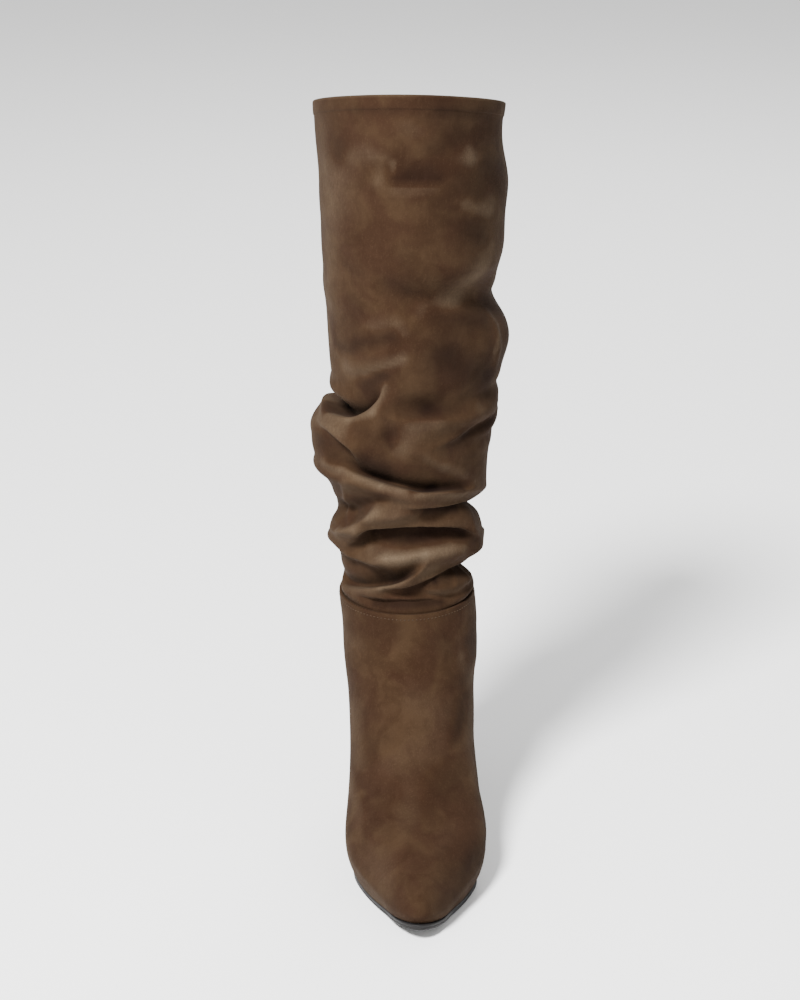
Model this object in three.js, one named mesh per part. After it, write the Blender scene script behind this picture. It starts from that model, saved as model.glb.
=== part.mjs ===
// Slouch boot for the right foot, in millimetres
// The toe points along -Y and the inner side of the foot is +X
import * as THREE from "three";

// Foot
const bootLength = 222;
const ankleWidth = 83.5;
const ankleDepth = 87;
const heelCurve = 4;
const toeSwing = 13;
const wallSwell = 4;
const seamHeight = 147;
const upperWall = 1.8;

// Sole and heel
const ballWidth = 75;
const waistWidth = 51;
const heelSeatWidth = 53;
const toeWidth = 26;
const toeRadius = 20;
const heelRadius = 26;
const heelHeight = 84;
const seatLength = 52;
const seatDrop = 15;
const treadStart = 152;
const treadEnd = 172;
const toeSpring = 7.5;
const outsoleThickness = 3.6;
const outsoleBevel = 0.8;
const insoleThickness = 2.5;
const heelBlockInset = 1.2;
const heelFootWidth = 46;
const heelFootLength = 45;
const heelFootBack = 8.5;
const breastHollow = 2.5;
const heelTipHeight = 6;
const heelTipBevel = 0.8;

// Shaft
const collarFrontHeight = 467;
const collarBackHeight = 432;
const collarWidth = 110;
const collarDepth = 120;
const shaftLean = 24;
const shaftWall = 1.6;
const lap = 7;
const riseOverEdge = 5;
const hemHeight = 8;
const hemStep = 0.6;
const slouchHeight = 150;
const foldDepth = 12;
const foldWidth = 20;
const rollCrown = 0.35;

// Clearances
const gap = 0.3;
const lapGap = 0.5;
const insoleGap = 0.6;

// Mesh density
const columns = 36;
const toeSteps = 8;
const treadSteps = 2;
const shankSteps = 13;
const seatSteps = 6;
const slouchRows = 28;
const legRows = 8;
const breastSteps = 2;
const heelSideSteps = 11;

// Plan of the sole: width as a share of the size beside it, swing as a share of toeSwing
const soleRows = [
  { at: 0, size: heelSeatWidth, width: 1, swing: 0 },
  { at: 0.18, size: heelSeatWidth, width: 1, swing: 0 },
  { at: 0.28, size: heelSeatWidth, width: 0.98, swing: -0.02 },
  { at: 0.36, size: waistWidth, width: 0.99, swing: -0.07 },
  { at: 0.44, size: waistWidth, width: 1.01, swing: -0.06 },
  { at: 0.52, size: ballWidth, width: 0.8, swing: 0.14 },
  { at: 0.59, size: ballWidth, width: 0.93, swing: 0.4 },
  { at: 0.65, size: ballWidth, width: 0.98, swing: 0.6 },
  { at: 0.7, size: ballWidth, width: 0.965, swing: 0.73 },
  { at: 0.76, size: ballWidth, width: 0.85, swing: 0.8 },
  { at: 0.82, size: ballWidth, width: 0.69, swing: 0.86 },
  { at: 0.885, size: ballWidth, width: 0.5, swing: 0.93 },
  { at: 0.94, size: toeWidth, width: 1.12, swing: 0.98 },
  { at: 1, size: toeWidth, width: 0.88, swing: 1 },
];

// Rings of the foot part, from the sole up to the foot of the lap
// back: share of heelCurve, front: share of the way from ankle to toe
// rise and lift: share of the height at the back and at the front
// bend: how far the ring follows the arch, oval: how far it leaves the sole's plan for its own
// girth: its own width as a share of ankleWidth, swing: its front's shift as a share of toeSwing
// swell: share of wallSwell, heelRound and toeRound: share of the ring's length
const footRows = [
  {
    back: 0.75, front: 0.981, rise: 0, lift: 0, bend: 1, oval: 0,
    girth: 0.98, swing: 1, swell: 0, heelRound: 0.118, toeRound: 0.09,
  },
  {
    back: 0.2, front: 1, rise: 0.15, lift: 0.051, bend: 1.03, oval: 0,
    girth: 0.98, swing: 1, swell: 0.65, heelRound: 0.12, toeRound: 0.11,
  },
  {
    back: 0, front: 0.973, rise: 0.31, lift: 0.106, bend: 1.1, oval: 0.06,
    girth: 0.98, swing: 1, swell: 0.95, heelRound: 0.13, toeRound: 0.17,
  },
  {
    back: 0, front: 0.908, rise: 0.43, lift: 0.149, bend: 1.12, oval: 0.16,
    girth: 0.99, swing: 1, swell: 1, heelRound: 0.16, toeRound: 0.26,
  },
  {
    back: 0.12, front: 0.794, rise: 0.53, lift: 0.191, bend: 1, oval: 0.32,
    girth: 0.98, swing: 1, swell: 0.95, heelRound: 0.2, toeRound: 0.34,
  },
  {
    back: 0.3, front: 0.656, rise: 0.62, lift: 0.238, bend: 0.8, oval: 0.52,
    girth: 0.96, swing: 0.9, swell: 0.8, heelRound: 0.25, toeRound: 0.4,
  },
  {
    back: 0.5, front: 0.504, rise: 0.7, lift: 0.3, bend: 0.55, oval: 0.72,
    girth: 0.94, swing: 0.79, swell: 0.6, heelRound: 0.3, toeRound: 0.43,
  },
  {
    back: 0.7, front: 0.351, rise: 0.77, lift: 0.417, bend: 0.35, oval: 0.88,
    girth: 0.93, swing: 0.65, swell: 0.4, heelRound: 0.36, toeRound: 0.46,
  },
  {
    back: 0.85, front: 0.229, rise: 0.83, lift: 0.565, bend: 0.2, oval: 0.96,
    girth: 0.94, swing: 0.48, swell: 0.2, heelRound: 0.41, toeRound: 0.48,
  },
  {
    back: 0.93, front: 0.145, rise: 0.88, lift: 0.697, bend: 0.1, oval: 1,
    girth: 0.96, swing: 0.32, swell: 0, heelRound: 0.45, toeRound: 0.49,
  },
  {
    back: 0.98, front: 0.061, rise: 0.93, lift: 0.868, bend: 0.04, oval: 1,
    girth: 0.97, swing: 0.2, swell: 0, heelRound: 0.48, toeRound: 0.5,
  },
  {
    back: 1, front: 0.011, rise: 1, lift: 1, bend: 0, oval: 1,
    girth: 1, swing: 0.05, swell: 0, heelRound: 0.5, toeRound: 0.5,
  },
];

// Outline of the shaft by share of its height: each column runs from 0 at the ankle to 1 at the collar
const shaftRows = [
  { at: 0, outer: 0, inner: 0, back: 0, front: 0 },
  { at: 0.1, outer: 0.1, inner: 0.4, back: 0.03, front: 0.06 },
  { at: 0.18, outer: 0.25, inner: 0.45, back: 0.09, front: 0.14 },
  { at: 0.28, outer: 0.32, inner: 0.53, back: 0.28, front: 0.29 },
  { at: 0.34, outer: 0.32, inner: 0.76, back: 0.39, front: 0.39 },
  { at: 0.42, outer: 0.32, inner: 1, back: 0.54, front: 0.51 },
  { at: 0.5, outer: 0.36, inner: 1.1, back: 0.67, front: 0.62 },
  { at: 0.6, outer: 0.47, inner: 1.11, back: 0.82, front: 0.75 },
  { at: 0.7, outer: 0.69, inner: 1.14, back: 0.92, front: 0.86 },
  { at: 0.78, outer: 0.73, inner: 1.18, back: 0.96, front: 0.95 },
  { at: 0.85, outer: 0.79, inner: 1.24, back: 1, front: 1 },
  { at: 0.93, outer: 0.91, inner: 0.98, back: 1, front: 1 },
  { at: 1, outer: 0.98, inner: 1.08, back: 1, front: 1 },
];

// Rolls and creases of the slouch, from the seam up
// turn: degrees round the leg from the front, inner side positive, reach: half length in degrees
// height, tilt and bow: shares of slouchHeight above the seam, push: share of foldDepth
// above and below: shares of foldWidth, rollCrown: share of that width that stays full on a roll
const folds = [
  { turn: 15, reach: 42, height: 0.073, tilt: -0.018, bow: 0.014, push: -0.33, above: 0.35, below: 0.3 },
  { turn: -50, reach: 75, height: 0.092, tilt: 0.123, bow: -0.043, push: -0.33, above: 0.4, below: 0.35 },
  { turn: 70, reach: 68, height: 0.143, tilt: -0.063, bow: 0.062, push: -1.15, above: 0.5, below: 0.45 },
  { turn: -90, reach: 50, height: 0.24, tilt: 0.056, bow: 0, push: 0.5, above: 0.7, below: 0.55 },
  { turn: 11, reach: 51, height: 0.388, tilt: 0.01, bow: 0.083, push: -0.67, above: 0.45, below: 0.5 },
  { turn: -70, reach: 62, height: 0.386, tilt: 0.103, bow: -0.019, push: -0.5, above: 0.4, below: 0.4 },
  { turn: 80, reach: 72, height: 0.403, tilt: -0.116, bow: 0.039, push: -1.1, above: 0.45, below: 0.42 },
  { turn: -20, reach: 75, height: 0.548, tilt: -0.011, bow: 0.041, push: 0.25, above: 0.4, below: 0.5 },
  { turn: 0, reach: 60, height: 0.557, tilt: -0.079, bow: -0.037, push: -0.58, above: 0.5, below: 0.35 },
  { turn: -85, reach: 75, height: 0.655, tilt: -0.005, bow: -0.046, push: 1, above: 1.55, below: 1.55 },
  { turn: 60, reach: 55, height: 0.775, tilt: 0.039, bow: 0.007, push: -0.33, above: 0.45, below: 0.45 },
  { turn: -90, reach: 70, height: 0.847, tilt: -0.018, bow: 0, push: -0.42, above: 0.5, below: 0.3 },
  { turn: -28, reach: 23, height: 0.889, tilt: 0.108, bow: 0, push: -0.33, above: 0.4, below: 0.4 },
  { turn: 12, reach: 22, height: 0.902, tilt: 0, bow: 0, push: -0.25, above: 0.45, below: 0.45 },
  { turn: 90, reach: 55, height: 1.091, tilt: -0.027, bow: 0, push: 0.33, above: 1.1, below: 1.1 },
  { turn: -16, reach: 12, height: 1.171, tilt: 0, bow: 0, push: -0.17, above: 0.4, below: 0.4 },
  { turn: 50, reach: 72, height: 1.309, tilt: -0.052, bow: 0.015, push: -0.9, above: 0.8, below: 0.8 },
  { turn: 5, reach: 22, height: 1.814, tilt: 0, bow: 0, push: -0.17, above: 0.4, below: 0.4 },
  { turn: 180, reach: 60, height: 0.28, tilt: 0, bow: 0.073, push: -0.58, above: 0.5, below: 0.5 },
  { turn: 175, reach: 65, height: 0.53, tilt: 0.02, bow: 0.047, push: -0.67, above: 0.5, below: 0.5 },
  { turn: 180, reach: 58, height: 0.76, tilt: 0, bow: 0.053, push: -0.58, above: 0.5, below: 0.5 },
];

// Covered heel block from its foot up: shares of the way from the foot's outline to the seat's
const heelRows = [
  { at: 0, back: 0, front: 0, width: 0 },
  { at: 0.25, back: 0.12, front: 0.12, width: 0.06 },
  { at: 0.5, back: 0.36, front: 0.36, width: 0.22 },
  { at: 0.75, back: 0.68, front: 0.7, width: 0.55 },
  { at: 1, back: 1, front: 1, width: 1 },
];

const seatSlope = seatDrop / seatLength;
const ankleFront = heelCurve + ankleDepth;
const collarBack = heelCurve - shaftLean;
const collarFront = collarBack + collarDepth;
const lapHeight = seamHeight - lap;
const edgeBack = heelCurve * footRows[0].back;
const edgeFront = lerp(ankleFront, bootLength, footRows[0].front);
const soleSteps = toeSteps + treadSteps + shankSteps + seatSteps;

function lerp(from, to, share) {
  return from + (to - from) * share;
}

function smoothstep(from, to, value) {
  const share = Math.min(Math.max((value - from) / (to - from), 0), 1);
  return share * share * (3 - 2 * share);
}

// Smooth curve through one column of a table whose rows lie at uneven places
function through(rows, key, at) {
  let row = 0;
  while (row < rows.length - 2 && at > rows[row + 1].at) {
    row += 1;
  }
  const start = rows[row];
  const end = rows[row + 1];
  const before = rows[Math.max(row - 1, 0)];
  const after = rows[Math.min(row + 2, rows.length - 1)];
  const span = end.at - start.at;
  const leave = (end[key] - before[key]) / (end.at - before.at) * span;
  const arrive = (after[key] - start[key]) / (after.at - start.at) * span;
  const share = (at - start.at) / span;
  const square = share * share;
  const cube = square * share;
  return (2 * cube - 3 * square + 1) * start[key] + (cube - 2 * square + share) * leave
    + (3 * square - 2 * cube) * end[key] + (cube - square) * arrive;
}

// Underside of the outsole: straight seat, curved shank, flat tread and toe spring
function soleBottom(along) {
  if (along <= seatLength) {
    return heelHeight - seatSlope * along;
  }
  if (along < treadStart) {
    const span = treadStart - seatLength;
    const share = (along - seatLength) / span;
    const square = share * share;
    const cube = square * share;
    return (2 * cube - 3 * square + 1) * (heelHeight - seatDrop)
      - (cube - 2 * square + share) * span * seatSlope;
  }
  if (along <= treadEnd) {
    return 0;
  }
  return toeSpring * ((along - treadEnd) / (bootLength - treadEnd)) ** 2;
}

function soleTop(along) {
  return soleBottom(along) + outsoleThickness;
}

const soleHalves = soleRows.map((row) => ({ at: row.at, half: row.size * row.width / 2, swing: row.swing }));

function soleHalf(along) {
  return through(soleHalves, "half", along / bootLength);
}

function centreLine(along) {
  return toeSwing * through(soleHalves, "swing", along / bootLength);
}

// Share of the full width at a distance from the rounded end of a ring
function endRound(distance, radius) {
  const share = Math.min(Math.max(distance / radius, 0), 1);
  return Math.sqrt(1 - (1 - share) ** 2);
}

function point(across, along, height) {
  return new THREE.Vector3(across, -along, height);
}

// Stations from toe to heel: close together at both ends, and one at each end of tread and seat
function soleStation(step, inset) {
  if (step <= toeSteps) {
    return lerp(treadEnd, bootLength - inset.toe, Math.cos(Math.PI / 2 * step / toeSteps));
  }
  if (step <= toeSteps + treadSteps) {
    return lerp(treadEnd, treadStart, (step - toeSteps) / treadSteps);
  }
  if (step <= toeSteps + treadSteps + shankSteps) {
    return lerp(treadStart, seatLength, (step - toeSteps - treadSteps) / shankSteps);
  }
  const share = (step - toeSteps - treadSteps - shankSteps) / seatSteps;
  return lerp(seatLength, inset.heel, Math.sin(Math.PI / 2 * share));
}

// A point of the foot part's ring, by the share of the way from heel to toe
function footPoint(row, share, side) {
  const back = heelCurve * row.back;
  const front = lerp(ankleFront, bootLength, row.front);
  const along = lerp(back, front, share);
  const sag = soleTop(lerp(edgeBack, edgeFront, share)) - lerp(soleTop(edgeBack), soleTop(edgeFront), share);
  const backHeight = lerp(soleTop(edgeBack) + gap, lapHeight, row.rise);
  const frontHeight = lerp(soleTop(edgeFront) + gap, lapHeight, row.lift);
  const height = lerp(backHeight, frontHeight, share) + row.bend * sag;
  const half = lerp(soleHalf(along), ankleWidth / 2 * row.girth, row.oval) + wallSwell * row.swell;
  const middle = lerp(centreLine(along), toeSwing * row.swing * share, row.oval);
  const length = front - back;
  const heelEnd = endRound(along - back, row.heelRound * length);
  const toeEnd = endRound(front - along, row.toeRound * length);
  return point(middle + side * half * heelEnd * toeEnd, along, height);
}

// A whole ring: on the sole it keeps the sole's stations, at the ankle its points lie evenly round
function footRing(row) {
  return Array.from({ length: 2 * soleSteps }, (_, index) => {
    const step = Math.min(index, 2 * soleSteps - index);
    const along = soleStation(step, { heel: edgeBack, toe: bootLength - edgeFront });
    const onSole = (along - edgeBack) / (edgeFront - edgeBack);
    const even = (1 + Math.cos(Math.PI * step / soleSteps)) / 2;
    return footPoint(row, lerp(onSole, even, row.oval), index < soleSteps ? 1 : -1);
  });
}

function anklePoint(turn) {
  const along = heelCurve + ankleDepth * (1 + Math.cos(turn)) / 2;
  return point(ankleWidth / 2 * Math.sin(turn), along, seamHeight);
}

function lapPoint(turn) {
  return footPoint(footRows[footRows.length - 1], (1 + Math.cos(turn)) / 2, Math.sign(Math.sin(turn)));
}

// How far the folds push the shaft's wall out at one place
function foldPush(turn, height) {
  let push = 0;
  for (const fold of folds) {
    const away = THREE.MathUtils.euclideanModulo(THREE.MathUtils.radToDeg(turn) - fold.turn + 180, 360) - 180;
    const side = away / fold.reach;
    if (Math.abs(side) >= 1) {
      continue;
    }
    const middle = fold.height + fold.tilt * side - fold.bow * side * side;
    const distance = height - seamHeight - slouchHeight * middle;
    const width = foldWidth * (distance > 0 ? fold.above : fold.below);
    const flat = fold.push > 0 ? rollCrown : 0;
    push += foldDepth * fold.push * (1 - side * side) * (1 - smoothstep(flat, 1, Math.abs(distance) / width));
  }
  return push;
}

function collarHeight(turn) {
  return lerp(collarBackHeight, collarFrontHeight, (1 + Math.cos(turn)) / 2);
}

// Outer face of the shaft above the seam, raised or sunk by push
function shaftPoint(turn, height, push) {
  const share = (height - seamHeight) / (collarHeight(turn) - seamHeight);
  const side = Math.sin(turn) < 0 ? "outer" : "inner";
  const half = lerp(ankleWidth / 2, collarWidth / 2, through(shaftRows, side, share));
  const back = lerp(heelCurve, collarBack, through(shaftRows, "back", share));
  const front = lerp(ankleFront, collarFront, through(shaftRows, "front", share));
  const depth = (front - back) / 2;
  const out = new THREE.Vector2(Math.sin(turn) / half, Math.cos(turn) / depth).normalize();
  const along = back + depth * (1 + Math.cos(turn));
  return point(half * Math.sin(turn) + out.x * push, along + out.y * push, height);
}

function inwards(place, turn, distance) {
  const out = new THREE.Vector2(Math.sin(turn) / ankleWidth, Math.cos(turn) / ankleDepth).normalize();
  return new THREE.Vector3(place.x - out.x * distance, place.y + out.y * distance, place.z);
}

function ring(make, count = columns) {
  return Array.from({ length: count }, (_, index) => make(2 * Math.PI * index / count));
}

function meshGeometry(vertices, faces) {
  const geometry = new THREE.BufferGeometry();
  geometry.setFromPoints(vertices);
  geometry.setIndex(faces);
  geometry.computeVertexNormals();
  return geometry;
}

// Quads between two closed rings of the same size, as pairs of triangles
function bridge(faces, count, low, high) {
  for (let index = 0; index < count; index += 1) {
    const next = (index + 1) % count;
    faces.push(low + index, low + next, high + next);
    faces.push(low + index, high + next, high + index);
  }
}

// Moves each ring in by the wall, along the surface's own normal; the two end rings move level
function innerRings(rings, wall) {
  return rings.map((places, row) => places.map((place, column) => {
    const count = places.length;
    const up = rings[Math.min(row + 1, rings.length - 1)][column].clone();
    up.sub(rings[Math.max(row - 1, 0)][column]);
    const round = places[(column + 1) % count].clone().sub(places[(column + count - 1) % count]);
    const normal = round.cross(up);
    if (row === 0 || row === rings.length - 1) {
      normal.z = 0;
    }
    return place.clone().addScaledVector(normal.normalize(), -wall);
  }));
}

// A hollow wall, open at both ends, between outer rings and inner rings
function shell(outer, inner) {
  const count = outer[0].length;
  const rings = [...outer, ...inner.toReversed()];
  const faces = [];
  rings.forEach((_, row) => bridge(faces, count, row * count, (row + 1) % rings.length * count));
  return meshGeometry(rings.flat(), faces);
}

// A solid through rings, closed at each end by strips from side to side
function slab(rings) {
  const count = rings[0].length;
  const last = (rings.length - 1) * count;
  const faces = [];
  for (let row = 0; row < rings.length - 1; row += 1) {
    bridge(faces, count, row * count, (row + 1) * count);
  }
  for (let index = 0; index < count / 2; index += 1) {
    const mirror = (count - index) % count;
    const next = index + 1;
    const nextMirror = count - next;
    if (index > 0) {
      faces.push(index, mirror, nextMirror);
      faces.push(last + index, last + nextMirror, last + mirror);
    }
    if (next < nextMirror) {
      faces.push(index, nextMirror, next);
      faces.push(last + index, last + next, last + nextMirror);
    }
  }
  return meshGeometry(rings.flat(), faces);
}

function soleRing(inset, heightAt) {
  return Array.from({ length: 2 * soleSteps }, (_, index) => {
    const along = soleStation(Math.min(index, 2 * soleSteps - index), inset);
    const round = endRound(along - inset.heel, heelRadius)
      * endRound(bootLength - inset.toe - along, toeRadius);
    const side = index < soleSteps ? 1 : -1;
    const across = centreLine(along) + side * (soleHalf(along) - inset.side) * round;
    return point(across, along, heightAt(along));
  });
}

// Foot part: one wall from the sole's edge to the ankle seam, open above and below
function makeUpper() {
  const outer = [...footRows.map(footRing), ring(anklePoint, 2 * soleSteps)];
  return shell(outer, innerRings(outer, upperWall));
}

// Slouched shaft: tucked inside the foot part's edge, rolled above it, with a turned hem at the collar
function makeShaft() {
  const tuck = upperWall + lapGap;
  const seamRing = ring((turn) => inwards(anklePoint(turn), turn, tuck));
  const outer = [
    ring((turn) => inwards(lapPoint(turn), turn, tuck)),
    seamRing,
    seamRing.map((place) => place.clone().setZ(seamHeight + gap)),
  ];
  const slouchTop = seamHeight + slouchHeight;
  for (let row = 1; row <= slouchRows; row += 1) {
    const height = lerp(seamHeight, slouchTop, row / slouchRows);
    const tucked = tuck * (1 - smoothstep(seamHeight, seamHeight + riseOverEdge, height));
    outer.push(ring((turn) => shaftPoint(turn, height, foldPush(turn, height) - tucked)));
  }
  for (let row = 1; row <= legRows; row += 1) {
    outer.push(ring((turn) => {
      const height = lerp(slouchTop, collarHeight(turn) - hemHeight - hemStep, row / legRows);
      return shaftPoint(turn, height, foldPush(turn, height));
    }));
  }
  outer.push(ring((turn) => shaftPoint(turn, collarHeight(turn) - hemHeight, hemStep)));
  outer.push(ring((turn) => shaftPoint(turn, collarHeight(turn) - hemStep, hemStep)));
  outer.push(ring((turn) => shaftPoint(turn, collarHeight(turn), 0)));
  return shell(outer, innerRings(outer, shaftWall));
}

function makeOutsole() {
  const flush = { heel: 0, toe: 0, side: 0 };
  const bevel = { heel: outsoleBevel, toe: outsoleBevel, side: outsoleBevel };
  return slab([
    soleRing(bevel, soleBottom),
    soleRing(flush, (along) => soleBottom(along) + outsoleBevel),
    soleRing(flush, soleTop),
  ]);
}

function makeInsole() {
  const wallInset = upperWall + insoleGap;
  const inset = {
    heel: edgeBack + wallInset,
    toe: bootLength - edgeFront + wallInset,
    side: wallInset,
  };
  return slab([
    soleRing(inset, (along) => soleTop(along) + gap),
    soleRing(inset, (along) => soleTop(along) + gap + insoleThickness),
  ]);
}

// One ring of the heel block: straight hollow breast in front, round back
function heelRing(row, inset, heightAt) {
  const back = lerp(heelFootBack, heelBlockInset, row.back) + inset;
  const front = lerp(heelFootBack + heelFootLength, seatLength - heelBlockInset, row.front) - inset;
  const half = lerp(heelFootWidth, heelSeatWidth - 2 * heelBlockInset, row.width) / 2 - inset;
  const steps = breastSteps + heelSideSteps;
  return Array.from({ length: 2 * steps }, (_, index) => {
    const step = Math.min(index, 2 * steps - index);
    const side = index < steps ? 1 : -1;
    if (step < breastSteps) {
      const across = step / breastSteps;
      const hollow = breastHollow * (1 - across * across);
      return point(side * across * half, front - hollow, heightAt(front - hollow));
    }
    const share = (step - breastSteps) / heelSideSteps;
    const along = lerp(front, back, Math.sin(Math.PI / 2 * share));
    return point(side * half * endRound(along - back, heelRadius), along, heightAt(along));
  });
}

function makeHeel() {
  const foot = heelTipHeight + gap;
  const heightAt = (row) => (along) => lerp(foot, soleBottom(along) - gap, row.at);
  return slab(heelRows.map((row) => heelRing(row, 0, heightAt(row))));
}

function makeHeelTip() {
  const foot = heelRows[0];
  return slab([
    heelRing(foot, heelTipBevel, () => 0),
    heelRing(foot, 0, () => heelTipBevel),
    heelRing(foot, 0, () => heelTipHeight),
  ]);
}

const suede = new THREE.MeshStandardMaterial({ color: 0x5c4636, roughness: 0.95, metalness: 0 });
const blackSole = new THREE.MeshStandardMaterial({ color: 0x151414, roughness: 0.5, metalness: 0 });
const insoleLeather = new THREE.MeshStandardMaterial({ color: 0x9a7c5c, roughness: 0.7, metalness: 0 });

const pieces = [
  { name: "outsole", geometry: makeOutsole(), material: blackSole },
  { name: "insole", geometry: makeInsole(), material: insoleLeather },
  { name: "upper", geometry: makeUpper(), material: suede },
  { name: "shaft", geometry: makeShaft(), material: suede },
  { name: "heel", geometry: makeHeel(), material: suede },
  { name: "heel_tip", geometry: makeHeelTip(), material: blackSole },
];

const boot = new THREE.Group();
for (const piece of pieces) {
  const mesh = new THREE.Mesh(piece.geometry, piece.material);
  mesh.name = piece.name;
  boot.add(mesh);
}

// The origin is on the floor, under the middle of the boot
const middle = new THREE.Box3().setFromObject(boot).getCenter(new THREE.Vector3());
boot.position.set(-middle.x, -middle.y, 0);

const model = new THREE.Group();
model.add(boot);

export default model;
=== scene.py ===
import math

import bpy
import numpy as np
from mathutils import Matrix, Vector


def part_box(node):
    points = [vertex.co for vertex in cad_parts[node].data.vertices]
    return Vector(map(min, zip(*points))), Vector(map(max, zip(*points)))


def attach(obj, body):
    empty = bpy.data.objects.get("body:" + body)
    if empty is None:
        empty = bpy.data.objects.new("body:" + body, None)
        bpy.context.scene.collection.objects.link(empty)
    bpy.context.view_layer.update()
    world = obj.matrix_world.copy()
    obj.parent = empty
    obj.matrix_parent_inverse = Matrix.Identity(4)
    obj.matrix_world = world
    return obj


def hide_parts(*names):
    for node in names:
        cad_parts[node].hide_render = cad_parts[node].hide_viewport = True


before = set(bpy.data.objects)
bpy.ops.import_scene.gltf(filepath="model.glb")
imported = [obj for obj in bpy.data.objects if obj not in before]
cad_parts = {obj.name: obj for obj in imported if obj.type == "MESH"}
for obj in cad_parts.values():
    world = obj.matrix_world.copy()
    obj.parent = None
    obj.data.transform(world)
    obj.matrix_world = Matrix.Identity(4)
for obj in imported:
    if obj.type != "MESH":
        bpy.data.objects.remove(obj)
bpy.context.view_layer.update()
heelLow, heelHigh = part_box("heel")
# design axes: across from the leg's middle, along from the back of the sole, height over the floor
acrossZero = (heelLow.x + heelHigh.x) / 2
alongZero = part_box("outsole")[1].y
millimetre = 0.001


# shared shape helpers

def smoothStep(low, high, value):
    share = np.clip((value - low) / (high - low), 0, 1)
    return share * share * (3 - 2 * share)


def blendTo(start, end, share):
    return start + (end - start) * share


# smooth curve through values at uneven places
def curveThrough(places, values, at):
    places = np.asarray(places, float)
    values = np.asarray(values, float)
    at = np.asarray(at, float)
    row = np.clip(np.searchsorted(places, at, side="left") - 1, 0, len(places) - 2)
    before = np.maximum(row - 1, 0)
    after = np.minimum(row + 2, len(places) - 1)
    span = places[row + 1] - places[row]
    leave = (values[row + 1] - values[before]) / (places[row + 1] - places[before]) * span
    arrive = (values[after] - values[row]) / (places[after] - places[row]) * span
    share = (at - places[row]) / span
    square = share * share
    cube = square * share
    return ((2 * cube - 3 * square + 1) * values[row] + (cube - 2 * square + share) * leave
            + (3 * square - 2 * cube) * values[row + 1] + (cube - square) * arrive)


def endRound(distance, radius):
    share = np.clip(distance / radius, 0, 1)
    return np.sqrt(1 - (1 - share) ** 2)


def place(across, along, height):
    across, along, height = np.broadcast_arrays(across, along, height)
    return np.stack([across, along, height], -1).astype(float)


def toFrame(points):
    moved = points.reshape(-1, 3) * millimetre
    return np.stack([acrossZero + moved[:, 0], alongZero - moved[:, 1], moved[:, 2]], -1)


# outward normals of a grid of rings that run from low to high
def gridNormals(points):
    ringStep = np.roll(points, -1, 1) - np.roll(points, 1, 1)
    up = np.gradient(points, axis=0)
    normal = np.cross(up, ringStep)
    return normal / np.maximum(np.linalg.norm(normal, axis=-1, keepdims=True), 1e-9)


def softenGrid(points, times, strength=0.5):
    for _ in range(times):
        near = (np.roll(points, 1, 1) + np.roll(points, -1, 1)) / 2
        mixed = blendTo(points, near, strength / 2)
        inner = (points[:-2] + points[2:]) / 2
        mixed[1:-1] += (inner - points[1:-1]) * strength / 2
        points = mixed
    return points


# gentle, repeatable unevenness: a few waves round and up
def unevenness(turn, height, seed, waves, size):
    rng = np.random.default_rng(seed)
    total = np.zeros(np.broadcast(turn, height).shape)
    for _ in range(waves):
        roundCount = rng.integers(1, 6)
        upLength = rng.uniform(28, 90)
        phase = rng.uniform(0, 2 * math.pi, 2)
        total += np.sin(roundCount * turn + phase[0] + height / upLength) * np.sin(height / upLength * 2 + phase[1])
    return total * size / math.sqrt(waves)


def makePiece(name, points, faces, materials, faceSlots=None, wearAndPaintedLight=None):
    mesh = bpy.data.meshes.new(name)
    mesh.from_pydata(points.tolist(), [], faces)
    # the per-point attribute carries tone, wear and painted light and shade for the suede colour
    if wearAndPaintedLight is not None:
        mesh.attributes.new("wearAndPaintedLight", "FLOAT", "POINT").data.foreach_set("value", wearAndPaintedLight.ravel())
    for material in materials:
        mesh.materials.append(material)
    if faceSlots is not None:
        mesh.polygons.foreach_set("material_index", faceSlots)
    mesh.polygons.foreach_set("use_smooth", [True] * len(mesh.polygons))
    mesh.update()
    piece = bpy.data.objects.new(name, mesh)
    bpy.context.scene.collection.objects.link(piece)
    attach(piece, "root")
    return piece


def ringFaces(rows, count, closed=False):
    start = np.arange(rows if closed else rows - 1)[:, None] * count
    column = np.arange(count)[None, :]
    after = (column + 1) % count
    top = (start + count) % (rows * count)
    quads = np.stack([start + column, start + after, top + after, top + column], -1)
    return quads.reshape(-1, 4).tolist()


# closes a ring with strips from one side to the other
def stripFaces(first, count, upward):
    faces = []
    for index in range(count // 2):
        mirror = (count - index) % count
        following = index + 1
        mirrorNext = count - following
        corners = [index, following, mirrorNext, mirror] if upward else [index, mirror, mirrorNext, following]
        unique = list(dict.fromkeys(corners))
        if len(unique) > 2:
            faces.append([first + corner for corner in unique])
    return faces


# sole line

soleLine = {
    "length": 222, "heelHeight": 84, "seatLength": 52, "seatDrop": 15,
    "treadStart": 152, "treadEnd": 172, "toeSpring": 7.5, "thickness": 3.6, "bevel": 0.8,
    "toeRadius": 20, "heelRadius": 26, "toeSwing": 13,
    "at": (0, 0.18, 0.28, 0.36, 0.44, 0.52, 0.59, 0.65, 0.7, 0.76, 0.82, 0.885, 0.94, 1),
    "width": (53, 53, 51.9, 50.5, 51.5, 60, 69.8, 73.5, 72.4, 63.8, 51.8, 37.5, 29.1, 22.9),
    "swing": (0, 0, -0.02, -0.07, -0.06, 0.14, 0.4, 0.6, 0.73, 0.8, 0.86, 0.93, 0.98, 1),
}


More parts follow.
